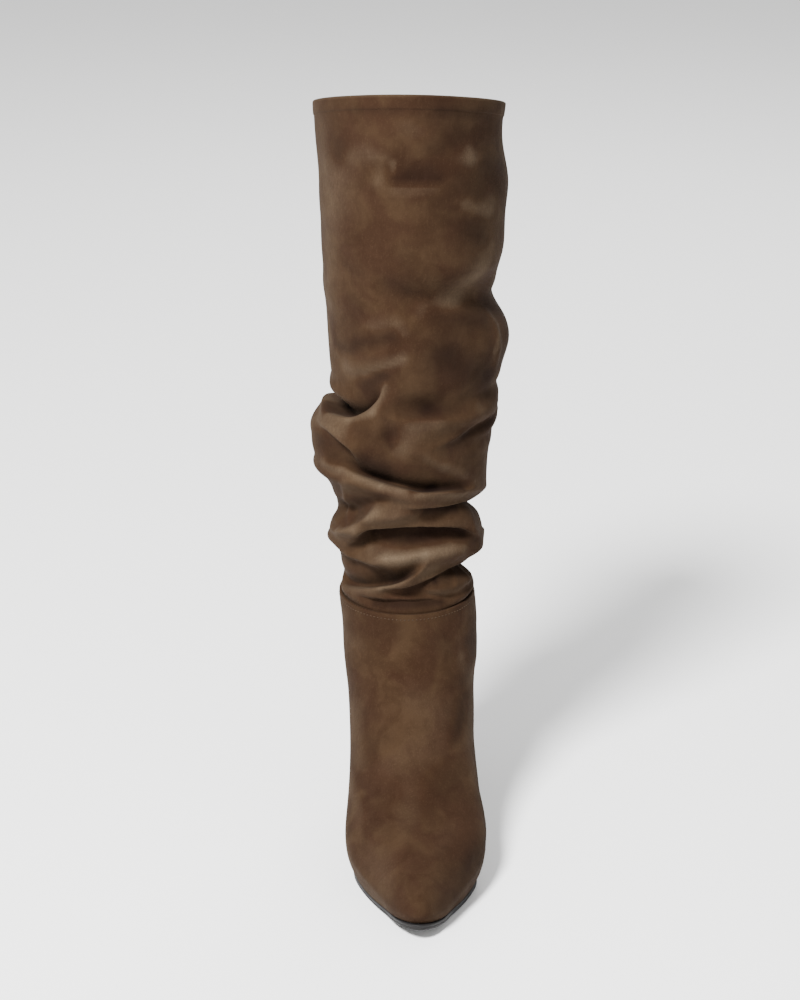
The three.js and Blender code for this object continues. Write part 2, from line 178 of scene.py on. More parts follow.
def soleBottom(along):
    slope = soleLine["seatDrop"] / soleLine["seatLength"]
    span = soleLine["treadStart"] - soleLine["seatLength"]
    share = np.clip((along - soleLine["seatLength"]) / span, 0, 1)
    square = share * share
    cube = square * share
    shank = (2 * cube - 3 * square + 1) * (soleLine["heelHeight"] - soleLine["seatDrop"])
    shank = shank - (cube - 2 * square + share) * span * slope
    toe = np.clip((along - soleLine["treadEnd"]) / (soleLine["length"] - soleLine["treadEnd"]), 0, None)
    seat = soleLine["heelHeight"] - slope * along
    return np.where(along <= soleLine["seatLength"], seat, shank) + soleLine["toeSpring"] * toe ** 2


def soleTop(along):
    return soleBottom(along) + soleLine["thickness"]


def soleHalf(along):
    return curveThrough(soleLine["at"], soleLine["width"], along / soleLine["length"]) / 2


def centreLine(along):
    return soleLine["toeSwing"] * curveThrough(soleLine["at"], soleLine["swing"], along / soleLine["length"])


# one level ring of the sole, set in from its outline
def soleRing(count, inset, lift, heelInset=None, toeInset=None):
    heel = inset if heelInset is None else heelInset
    toe = inset if toeInset is None else toeInset
    turn = 2 * math.pi * np.arange(count) / count
    share = (1 + np.cos(turn)) / 2
    along = blendTo(heel, soleLine["length"] - toe, share)
    rounding = endRound(along - heel, soleLine["heelRadius"])
    rounding = rounding * endRound(soleLine["length"] - toe - along, soleLine["toeRadius"])
    across = centreLine(along) + np.sign(np.round(np.sin(turn), 9)) * (soleHalf(along) - inset) * rounding
    return place(across, along, lift(along))


# foot part

footPart = {
    "ankleWidth": 83.5, "ankleDepth": 87, "heelCurve": 4, "wallSwell": 4, "seamHeight": 147,
    "lap": 7, "wall": 1.8, "gap": 0.3, "columns": 288, "rows": 112, "innerStep": 3, "edgeRound": 0.8,
}
# back, front, rise, lift, bend, oval, girth, swing, swell, heelRound, toeRound: sole up to the lap
footRings = np.array([
    (0.75, 0.981, 0, 0, 1, 0, 0.98, 1, 0, 0.118, 0.09),
    (0.2, 1, 0.15, 0.051, 1.03, 0, 0.98, 1, 0.65, 0.12, 0.11),
    (0, 0.973, 0.31, 0.106, 1.1, 0.06, 0.98, 1, 0.95, 0.13, 0.17),
    (0, 0.908, 0.43, 0.149, 1.12, 0.16, 0.99, 1, 1, 0.16, 0.26),
    (0.12, 0.794, 0.53, 0.191, 1, 0.32, 0.98, 1, 0.95, 0.2, 0.34),
    (0.3, 0.656, 0.62, 0.238, 0.8, 0.52, 0.96, 0.9, 0.8, 0.25, 0.4),
    (0.5, 0.504, 0.7, 0.3, 0.55, 0.72, 0.94, 0.79, 0.6, 0.3, 0.43),
    (0.7, 0.351, 0.77, 0.417, 0.35, 0.88, 0.93, 0.65, 0.4, 0.36, 0.46),
    (0.85, 0.229, 0.83, 0.565, 0.2, 0.96, 0.94, 0.48, 0.2, 0.41, 0.48),
    (0.93, 0.145, 0.88, 0.697, 0.1, 1, 0.96, 0.32, 0, 0.45, 0.49),
    (0.98, 0.061, 0.93, 0.868, 0.04, 1, 0.97, 0.2, 0, 0.48, 0.5),
    (1, 0.011, 1, 1, 0, 1, 1, 0.05, 0, 0.5, 0.5),
])


def footRing(level, turn):
    lapLevel = len(footRings) - 1
    steps = np.arange(len(footRings))
    row = [float(curveThrough(steps, footRings[:, column], min(level, lapLevel))) for column in range(11)]
    back, front, rise, lift, bend, oval, girth, swing, swell, heelRound, toeRound = row
    ankleFront = footPart["heelCurve"] + footPart["ankleDepth"]
    edgeBack = footPart["heelCurve"] * footRings[0, 0]
    edgeFront = blendTo(ankleFront, soleLine["length"], footRings[0, 1])
    lapHeight = footPart["seamHeight"] - footPart["lap"]
    share = (1 + np.cos(turn)) / 2
    side = np.sign(np.round(np.sin(turn), 9))
    start = footPart["heelCurve"] * back
    end = blendTo(ankleFront, soleLine["length"], front)
    along = blendTo(start, end, share)
    sag = soleTop(blendTo(edgeBack, edgeFront, share)) - blendTo(soleTop(edgeBack), soleTop(edgeFront), share)
    backHeight = blendTo(soleTop(edgeBack) + footPart["gap"], lapHeight, rise)
    frontHeight = blendTo(soleTop(edgeFront) + footPart["gap"], lapHeight, lift)
    height = blendTo(backHeight, frontHeight, share) + bend * sag
    half = blendTo(soleHalf(along), footPart["ankleWidth"] / 2 * girth, oval) + footPart["wallSwell"] * swell
    middle = blendTo(centreLine(along), soleLine["toeSwing"] * swing * share, oval)
    long = end - start
    rounding = endRound(along - start, heelRound * long) * endRound(end - along, toeRound * long)
    ring = place(middle + side * half * rounding, along, height)
    if level > lapLevel:
        ankle = place(footPart["ankleWidth"] / 2 * np.sin(turn),
                      footPart["heelCurve"] + footPart["ankleDepth"] * share, footPart["seamHeight"])
        ring = blendTo(ring, ankle, level - lapLevel)
    return ring


def footSkin():
    turn = 2 * math.pi * np.arange(footPart["columns"]) / footPart["columns"]
    levels = np.linspace(0, len(footRings), footPart["rows"])
    return np.stack([footRing(level, turn) for level in levels]), turn


# fine trim of the two sides by height: outer side, inner side
footTrim = {
    "height": (20, 25, 31, 38, 45, 52, 60, 68, 92, 100, 108, 117, 129, 138, 146),
    "outer": (0, 0, -0.2, -0.3, -0.4, -0.5, -0.5, -0.4, 0.1, 0.7, 0.9, 0.8, 0.5, 0, 0),
    "inner": (0, 0.7, 2.8, 3.6, 3.1, 2.8, 1.7, 0.3, -0.6, 0, 1.7, 2.6, 2.2, 1, 0),
}


def makeUpper(suede, lining):
    settings = footPart
    skin, turn = footSkin()
    skin = softenGrid(skin, 6, 0.6)
    normal = gridNormals(skin)
    sine = np.sin(turn)[None, :]
    trim = np.where(sine < 0, np.interp(skin[..., 2], footTrim["height"], footTrim["outer"]),
                    np.interp(skin[..., 2], footTrim["height"], footTrim["inner"]))
    trim = trim * smoothStep(0.3, 0.88, np.abs(sine)) * smoothStep(10, 30, skin[..., 1])
    trim = trim * smoothStep(3, 13, skin[..., 2] - soleTop(skin[..., 1]))
    skin = softenGrid(skin + normal * (1, 1, 0) * trim[..., None], 3, 0.6)
    normal = gridNormals(skin)
    # hand-lasted leather is never quite even
    skin = skin + normal * unevenness(turn[None, :], skin[..., 2], 11, 7, 0.3)[..., None]
    # soft wrinkles over the flex of the instep
    for crease in settings["creases"]:
        distance = (skin[..., 2] - crease["height"] - crease["tilt"] * np.sin(turn)[None, :])
        reach = smoothStep(crease["reach"], 0, np.abs(turnGap(turn, crease["turn"])))[None, :]
        dip = -crease["depth"] * np.exp(-(distance / crease["width"]) ** 2) * reach
        skin = skin + normal * dip[..., None]
    normal = gridNormals(skin)
    rim = settings["edgeRound"]
    level = normal[-1] * (1, 1, 0)
    level = level / np.linalg.norm(level, axis=-1, keepdims=True)
    wall = settings["wall"]
    rimRows = [skin[-1] - level * wall * inward + (0, 0, up)
               for inward, up in ((0.04, 0.25 * rim), (0.16, 0.5 * rim), (0.5, 0.62 * rim), (0.84, 0.5 * rim), (1, 0))]
    flat = normal.copy()
    flat[0] = flat[0] * (1, 1, 0)
    flat[0] /= np.linalg.norm(flat[0], axis=-1, keepdims=True)
    innerRows = (skin - flat * wall)[::-settings["innerStep"]]
    if len(skin) % settings["innerStep"] != 1:
        innerRows = np.concatenate([innerRows, (skin - flat * wall)[:1]])
    rows = np.concatenate([skin, np.stack(rimRows), innerRows[1:]])
    count = settings["columns"]
    faces = ringFaces(len(rows), count, closed=True)
    slots = [0] * (count * (len(skin) + len(rimRows))) + [1] * (count * (len(rows) - len(skin) - len(rimRows)))
    across, height = rows[..., 0], rows[..., 2]
    # foot streaks: tone with painted highlights and painted shade
    wearAndPaintedLight = streakToneAndLight(lambda middle: across - middle, 1, height, footTonesAndPaintedLight)
    wearAndPaintedLight[:, np.abs(turnGap(turn, 0)) > 100] = 0
    piece = makePiece("upper_suede", toFrame(rows), faces, [suede, lining], slots, wearAndPaintedLight)
    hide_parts("upper")
    return skin, normal


def turnGap(turn, degrees):
    return (np.degrees(turn) - degrees + 180) % 360 - 180


footPart["creases"] = [
    {"height": 101, "tilt": 2, "turn": 10, "reach": 95, "depth": 0.9, "width": 6},
    {"height": 84, "tilt": -3, "turn": -15, "reach": 70, "depth": 0.55, "width": 5},
    {"height": 124, "tilt": -4, "turn": 60, "reach": 70, "depth": 1.1, "width": 9},
]


# shaft

shaft = {
    "collarFrontHeight": 467, "collarBackHeight": 432, "collarWidth": 110, "collarDepth": 120, "lean": 24,
    "foldDepth": 12, "foldWidth": 20, "slouchHeight": 150,
    "lapGap": 0.5, "riseOverEdge": 5, "hem": 8, "hemStep": 0.45, "wall": 1.6,
    # crest and trough strengths paint a highlight on fold crests and shade in fold troughs into the colour; the edge
    # strength makes the hem's rolled edge pale
    "crestWearAndHighlight": 0.07, "troughPaintedShade": 0.08, "edgeWear": 0.35,
    "columns": 272, "lapRows": 6, "slouchRows": 176, "slouchTop": 300, "legRows": 54, "innerRows": 92,
    "radius": 46,
    "at": (0, 0.1, 0.18, 0.28, 0.34, 0.42, 0.5, 0.6, 0.7, 0.78, 0.85, 0.93, 1),
    "outer": (0, 0.1, 0.25, 0.32, 0.32, 0.32, 0.36, 0.47, 0.69, 0.73, 0.79, 0.91, 0.98),
    "inner": (0, 0.4, 0.45, 0.53, 0.76, 1, 1.1, 1.11, 1.14, 1.18, 1.24, 0.98, 1.08),
    "back": (0, 0.03, 0.09, 0.28, 0.39, 0.54, 0.67, 0.82, 0.92, 0.96, 1, 1, 1),
    "front": (0, 0.06, 0.14, 0.29, 0.39, 0.51, 0.62, 0.75, 0.86, 0.95, 1, 1, 1),
}
# broad rolls: turn, reach, height, tilt, bow, push, above, below
broadRolls = [
    (15, 42, 0.073, -0.018, 0.014, -0.25, 0.35, 0.3),
    (-50, 75, 0.092, 0.123, -0.043, -0.25, 0.4, 0.35),
    (70, 68, 0.143, -0.063, 0.062, -0.95, 0.55, 0.5),
    (-90, 50, 0.24, 0.056, 0, 0.5, 0.7, 0.55),
    (11, 51, 0.388, 0.01, 0.083, -0.5, 0.5, 0.55),
    (-70, 62, 0.386, 0.103, -0.019, -0.5, 0.4, 0.4),
    (80, 72, 0.403, -0.116, 0.039, -0.9, 0.5, 0.47),
    (-20, 75, 0.548, -0.011, 0.041, 0.25, 0.4, 0.5),
    (0, 60, 0.557, -0.079, -0.037, -0.4, 0.55, 0.4),
    (-85, 75, 0.655, -0.005, -0.046, 1, 1.55, 1.55),
    (60, 55, 0.775, 0.039, 0.007, -0.33, 0.5, 0.5),
    (-90, 70, 0.847, -0.018, 0, -0.35, 0.55, 0.35),
    (-28, 23, 0.889, 0.108, 0, -0.25, 0.45, 0.45),
    (12, 22, 0.902, 0, 0, -0.2, 0.5, 0.5),
    (90, 55, 1.091, -0.027, 0, 0.33, 1.1, 1.1),
    (-16, 12, 1.171, 0, 0, -0.17, 0.4, 0.4),
    (50, 72, 1.309, -0.052, 0.015, -0.9, 0.8, 0.8),
    (5, 22, 1.814, 0, 0, -0.17, 0.4, 0.4),
    (180, 60, 0.28, 0, 0.073, -0.4, 0.55, 0.55),
    (175, 65, 0.53, 0.02, 0.047, -0.5, 0.55, 0.55),
    (180, 58, 0.76, 0, 0.053, -0.4, 0.55, 0.55),
]
# creases on the unrolled leg: name, side (1 dives above the line, -1 below), lip and dive widths,
# tuck share, then turn, height, lip out and dive in
creases = [
    ("pocket", 1, 6, 4, 0.9, [
        (-128, 262, 0, 0), (-108, 267, 3.5, 7), (-89, 269.5, 4, 9), (-68, 269, 4, 9), (-56, 270, 3.5, 8),
        (-44, 271.5, 3, 7), (-35, 275.5, 3, 6.5), (-29, 279, 2.5, 5.5), (-23, 284, 2, 3.5), (-19, 288, 2, 2),
        (-15, 293.5, 1.5, 1), (-8, 299, 0, 0)]),
    ("outerRidge", -1, 5, 4.5, 0.4, [
        (-84, 262, 0, 0), (-66, 261.5, 1.5, 2), (-57, 261, 2, 3), (-48, 259, 2, 3.5), (-41, 256, 2, 4),
        (-37, 253, 1.5, 3.5), (-34, 249.5, 1, 2), (-30, 246, 0, 0)]),
    ("longLip", 1, 6.5, 4, 0.9, [
        (-96, 231, 0, 0), (-62, 238.5, 1.5, 0), (-50, 240.5, 2.5, 1), (-44, 240.5, 3, 2.5), (-38, 239, 3, 4.5),
        (-33, 237.5, 3.5, 7), (-28, 236.5, 3.5, 8.5), (-16, 233.5, 3.5, 8), (0, 231, 3.5, 7), (12, 229, 3.5, 8),
        (24, 227.5, 3, 7), (36, 226, 3, 5), (46, 224, 2, 2.5), (55, 222, 1, 1), (70, 221, 0, 0)]),
    ("slit", -1, 5, 3.5, 0.7, [
        (-4, 218.5, 0, 0), (7, 217, 1, 2.5), (13, 216.5, 2, 6), (20, 215.5, 2, 7.5), (37, 213.5, 2, 8),
        (53, 211.5, 2, 7.5), (75, 207.5, 2, 8), (96, 205, 2, 8), (116, 204, 1.5, 5), (134, 205, 0, 0)]),
    ("valleyEdge", -1, 7, 5, 0.7, [
        (-58, 183, 0, 0), (-45, 190, 1, 4), (-37, 195.5, 2, 7.5), (-30, 199.5, 2, 8.5), (-22, 201, 2, 9),
        (0, 202.5, 2, 9), (24, 200.5, 2, 9), (37, 199, 2, 8.5), (50, 196.5, 1.5, 6.5), (61, 192, 1, 3.5),
        (74, 187, 0, 0)]),
    ("roll", 1, 6, 12, 0, [
        (-48, 207, 0, 0), (-34, 211, 2, 0), (-22, 212.5, 3, 0), (-8, 211.5, 3, 0), (8, 210, 2.5, 0),
        (26, 208.5, 2.5, 0), (46, 206, 2, 0), (68, 201, 0, 0)]),
    ("outerCrest", 1, 4.5, 4, 0.3, [
        (-96, 191, 0, 0), (-66, 192.5, 2, 1.5), (-57, 196, 2.5, 2.5), (-50, 198, 2.5, 3), (-39, 203.5, 2, 3),
        (-29, 209.5, 2, 2.5), (-26, 212, 2, 2), (-23, 215.5, 1, 1), (-19, 219.5, 0, 0)]),
    ("uprightRidge", 1, 2, 3, 0, [
        (-40, 235, 0, 0), (-44, 229.5, 1, 1), (-50, 222, 1.5, 1), (-55, 214, 1.5, 1), (-66, 206, 1.5, 1),
        (-58, 203.5, 1, 1), (-49, 200.5, 1, 0.5), (-48, 196, 0, 0)]),
    ("rim", 1, 5, 4, 0.5, [
        (-36, 179.5, 0, 0), (-27, 180.5, 1.5, 1.5), (-21, 183, 3, 3.5), (-12, 184.5, 3.5, 4.5),
        (0, 185.5, 3.5, 5), (11, 185.5, 3, 4.5), (27, 185.5, 2.5, 3.5), (38, 185, 2, 2.5), (51, 185.5, 1.5, 1.5),
        (64, 187, 0, 0)]),
    ("rimOuter", -1, 3, 4, 0.3, [
        (-80, 185, 0, 0), (-62, 178, 1.5, 2), (-55, 177.5, 1.5, 3), (-38, 177, 1.5, 3), (-29, 178, 1.5, 3),
        (-20, 179.5, 1, 2), (-10, 179, 0, 0)]),
    ("sweepLip", 1, 5, 3.6, 1, [
        (-96, 156, 0, 0), (-73, 154.5, 2, 2.5), (-56, 157, 2.5, 3.5), (-43, 160, 3, 4.5), (-32, 162.5, 3, 6),
        (-22, 165.5, 3, 7), (-8, 169.5, 3, 7.5), (-2, 171.5, 3, 7), (3, 173, 3, 5.5), (8, 174.5, 2.5, 3.5),
        (14, 177, 1.5, 1), (18, 181.5, 0, 0)]),
    ("sweepShadow", -1, 5, 2.6, 0.6, [
        (-20, 165, 0, 0), (-5, 165, 1, 2.5), (4, 166, 1.5, 4), (20, 167.5, 1.5, 4), (40, 169, 1.5, 4),
        (66, 168.5, 2, 4), (94, 165, 2, 4), (112, 163, 1.5, 2.5), (126, 163, 0, 0)]),
    ("seamCrease", -1, 3, 3.2, 0.4, [
        (-44, 156, 0, 0), (-32, 155.5, 0.5, 2.5), (-24, 156, 0.5, 4), (-2, 156, 0.5, 4.5), (22, 155, 0.5, 4),
        (34, 153, 0.5, 3), (46, 153, 0, 0)]),
    ("innerBand", -1, 3, 3, 0, [
        (10, 163, 0, 0), (20, 160, 1, 1), (30, 158.5, 1, 1), (40, 157, 1, 1), (50, 155.5, 1, 1), (62, 154, 0, 0)]),
    ("innerUpright", 1, 1.8, 2.4, 0, [(54, 168, 0, 0), (51, 164.5, 1, 0.5), (47, 162.5, 1, 0.5), (46, 158.5, 0, 0)]),
    ("farUpright", -1, 1.8, 2.4, 0, [(72, 170, 0, 0), (68, 166, 1, 0.5), (66, 162, 1, 0.5), (70, 156, 0, 0)]),
    ("dentFloor", 1, 7, 6.5, 0.4, [
        (-22, 275, 0, 0), (-12, 275, 0.5, 1.5), (-3, 274.5, 1, 3), (8, 274.5, 1.5, 4.5), (16, 274, 1.5, 5),
        (24, 273, 1.5, 4), (34, 272, 0.5, 2), (50, 271, 0, 0)]),
    ("innerTrough", -1, 7, 6.5, 0.2, [
        (120, 259, 0, 0), (102, 261.5, 1, 2), (85, 264, 1.5, 3), (62, 264.5, 1.5, 3.5), (51, 263.5, 1, 3.5),
        (43, 261.5, 1, 3.5), (35, 259, 1, 3), (28, 257, 0.5, 2), (19, 255, 0.5, 1), (8, 252, 0, 0)]),
    ("spot", 1, 3, 3.4, 0, [(-19, 260, 0, 0), (-14, 259.5, 0.5, 2), (-9, 259.5, 0.5, 2), (-3, 260, 0, 0)]),
    ("innerSlope", -1, 4, 5, 0.1, [
        (7, 255, 0, 0), (14, 251, 1, 1), (25, 244.5, 1.5, 1.5), (33, 241.5, 1.5, 1.5), (41, 238, 1.5, 1),
        (50, 232, 1.5, 1), (57, 226.5, 1, 0.5), (64, 222, 0, 0)]),
    ("midRidge", -1, 6, 6, 0, [
        (-50, 299, 0, 0), (-40, 301.5, 1, 1.5), (-28, 305, 1.5, 2), (-16, 310, 1, 1.5), (-4, 315, 0, 0)]),
    ("innerSwell", -1, 9, 7, 0, [
        (120, 338, 0, 0), (102, 338.5, 1.5, 2), (86, 339.5, 1.5, 2.5), (60, 341, 1.5, 2.5), (34, 344, 1.5, 2),
        (12, 348, 1, 1), (-10, 352, 0, 0)]),
    ("innerLine", 1, 2.6, 4, 0, [
        (64, 334, 0, 0), (66, 325, 1, 0.5), (65, 312, 1, 0.5), (67, 300, 1, 0.5), (72, 290, 0, 0)]),
    ("kneeDent", 1, 8, 4.6, 0.2, [
        (-22, 419, 0, 0), (-10, 419.5, 1, 1.5), (4, 420, 1, 2), (20, 419.5, 1, 1.5), (34, 418, 0, 0)]),
    ("kneeLight", 1, 6, 8, 0, [(22, 435, 0, 0), (32, 432, 1, 1), (46, 428, 1, 1), (60, 422, 0, 0)]),
    ("backFirst", 1, 6, 4, 0.9, [
        (92, 256, 0, 0), (108, 252, 2, 4), (126, 248.5, 3, 6), (148, 246, 3, 6.5), (172, 248, 2.5, 5.5),
        (198, 245, 3, 6.5), (222, 249, 2.5, 5), (238, 255, 1, 2), (250, 260, 0, 0)]),
    ("backSecond", 1, 6, 4, 0.9, [
        (98, 226, 0, 0), (114, 221.5, 2, 4), (134, 217.5, 3, 6), (154, 215, 3, 6.5), (178, 217, 3, 5.5),
        (204, 221, 3, 6), (228, 226, 2, 4), (250, 228, 0, 0)]),
    ("backThird", -1, 5, 3.6, 0.6, [
        (118, 204, 0, 0), (134, 200.5, 1.5, 4), (150, 197.5, 2, 5.5), (170, 195, 2, 6), (194, 197, 2, 5.5),
        (216, 202, 1.5, 4), (236, 207, 0, 0)]),
    ("backFourth", 1, 5, 3.6, 0.9, [
        (86, 187, 0, 0), (102, 184.5, 2, 3), (122, 181, 2.5, 5), (144, 179, 2.5, 5.5), (168, 182, 2.5, 5),
        (192, 186, 2.5, 5), (214, 184, 2, 4), (240, 180, 0, 0)]),
    ("backFifth", 1, 4.5, 3.2, 0.9, [
        (112, 163, 0, 0), (128, 165, 1.5, 3.5), (148, 166, 2, 4.5), (170, 163.5, 2, 4.5), (198, 161, 2, 4.5),
        (224, 164.5, 1.5, 3.5), (246, 163.5, 0, 0)]),
    ("backUpper", 1, 7, 5, 0.4, [
        (120, 288, 0, 0), (136, 283, 1.5, 2.5), (156, 279.5, 2, 3.5), (180, 279, 2, 3.5), (206, 283.5, 2, 3),
        (230, 291, 0, 0)]),
    ("backTop", 1, 8, 6, 0, [
        (134, 320, 0, 0), (150, 315.5, 1, 1.5), (168, 312, 1.5, 2), (190, 314, 1.5, 2), (208, 318.5, 1, 1),
        (224, 323, 0, 0)]),
    ("backUpright", 1, 3.4, 4, 0, [
        (148, 266, 0, 0), (152, 259, 1, 1), (158, 249, 1.5, 1), (165, 238, 1, 1), (168, 228, 0, 0)]),
    ("backLow", -1, 3, 4, 0, [(214, 216, 0, 0), (210, 209, 1, 1), (205, 200, 1, 1), (204, 190, 0, 0)]),
]


# swells and dips of the two sides: height, reach up and down, push out
legSides = {
    "outer": [
        (160, 6, -3), (171, 6, -1.8), (188, 5, -2), (198, 4.5, 3), (208, 4, -1.5), (219, 7, 1), (232, 4, 3.5),
        (257, 6, 4), (283, 3.5, 3.5), (341, 8, 1.2), (394, 10, 0.5)],
    "inner": [
        (155.5, 3, -3.2), (168, 4, -0.8), (206, 10, 1.2), (247, 5, 1), (258, 5, 4.2), (268, 4, 2), (282, 5, -2.2),
        (316, 16, 1.6), (352, 8, -2.8), (400, 20, 0.7), (460, 14, 0.8)],
    "sharpest": (0.35, 0.95),
}


def sidePush(swells, height):
    return sum(push * np.exp(-((height - middle) / reach) ** 2) for middle, reach, push in swells)


def trimPush(turn, height):
    sine = np.sin(turn)
    push = np.where(sine < 0, sidePush(legSides["outer"], height), sidePush(legSides["inner"], height))
    return push * smoothStep(*legSides["sharpest"], np.abs(sine))


def collarHeight(turn):
    return blendTo(shaft["collarBackHeight"], shaft["collarFrontHeight"], (1 + np.cos(turn)) / 2)


# outline of the shaft at a turn and height, with its level outward direction
def shaftSection(turn, height):
    seam = footPart["seamHeight"]
    share = np.clip((height - seam) / (collarHeight(turn) - seam), 0, 1.02)
    side = np.where(np.sin(turn) < 0, curveThrough(shaft["at"], shaft["outer"], share),
                    curveThrough(shaft["at"], shaft["inner"], share))
    half = blendTo(footPart["ankleWidth"], shaft["collarWidth"], side) / 2
    ankleFront = footPart["heelCurve"] + footPart["ankleDepth"]
    collarBack = footPart["heelCurve"] - shaft["lean"]
    back = blendTo(footPart["heelCurve"], collarBack, curveThrough(shaft["at"], shaft["back"], share))
    front = blendTo(ankleFront, collarBack + shaft["collarDepth"], curveThrough(shaft["at"], shaft["front"], share))
    depth = (front - back) / 2
    out = place(np.sin(turn) / half, np.cos(turn) / depth, 0)
    out = out / np.linalg.norm(out, axis=-1, keepdims=True)
    return place(half * np.sin(turn), back + depth * (1 + np.cos(turn)), height), out


def broadPush(turn, height):
    push = np.zeros(np.broadcast(turn, height).shape)
    for at, reach, middle, tilt, bow, strength, above, below in broadRolls:
        side = turnGap(turn, at) / reach
        line = middle + tilt * side - bow * side * side
        distance = height - footPart["seamHeight"] - shaft["slouchHeight"] * line
        width = shaft["foldWidth"] * np.where(distance > 0, above, below)
        wave = (1 - side * side) * (1 - smoothStep(0, 1, np.abs(distance) / width))
        push += np.where(np.abs(side) < 1, shaft["foldDepth"] * strength * wave, 0)
    return push


# signed distance to a given line on the unrolled leg, how far along it, and the way across it
def lineField(turn, height, path):
    middle = sum(point[0] for point in path) / len(path)
    steps = np.linspace(0, len(path) - 1, 5 * len(path) - 4)
    knots = np.arange(len(path))
    radius = shaft["radius"]
    lineU = np.radians(curveThrough(knots, [point[0] - middle for point in path], steps)) * radius
    lineV = curveThrough(knots, [point[1] for point in path], steps)
    u = np.radians(turnGap(turn, middle)) * radius
    best = np.full(u.shape, 1e9)
    signed = np.zeros(u.shape)
    along = np.zeros(u.shape)
    acrossU = np.zeros(u.shape)
    acrossV = np.ones(u.shape)
    for index in range(len(steps) - 1):
        du, dv = lineU[index + 1] - lineU[index], lineV[index + 1] - lineV[index]
        long = math.hypot(du, dv)
        raw = ((u - lineU[index]) * du + (height - lineV[index]) * dv) / long ** 2
        share = np.clip(raw, 0, 1)
        awayU = u - lineU[index] - share * du
        awayV = height - lineV[index] - share * dv
        distance = np.hypot(awayU, awayV)
        closer = distance < best
        best = np.where(closer, distance, best)
        turnSide = np.sign(du * awayV - dv * awayU)
        signed = np.where(closer, distance * np.where(turnSide == 0, 1, turnSide), signed)
        along = np.where(closer, blendTo(steps[index], steps[index + 1], share), along)
        acrossU = np.where(closer, -dv / long, acrossU)
        acrossV = np.where(closer, du / long, acrossV)
    return signed, along, acrossU, acrossV
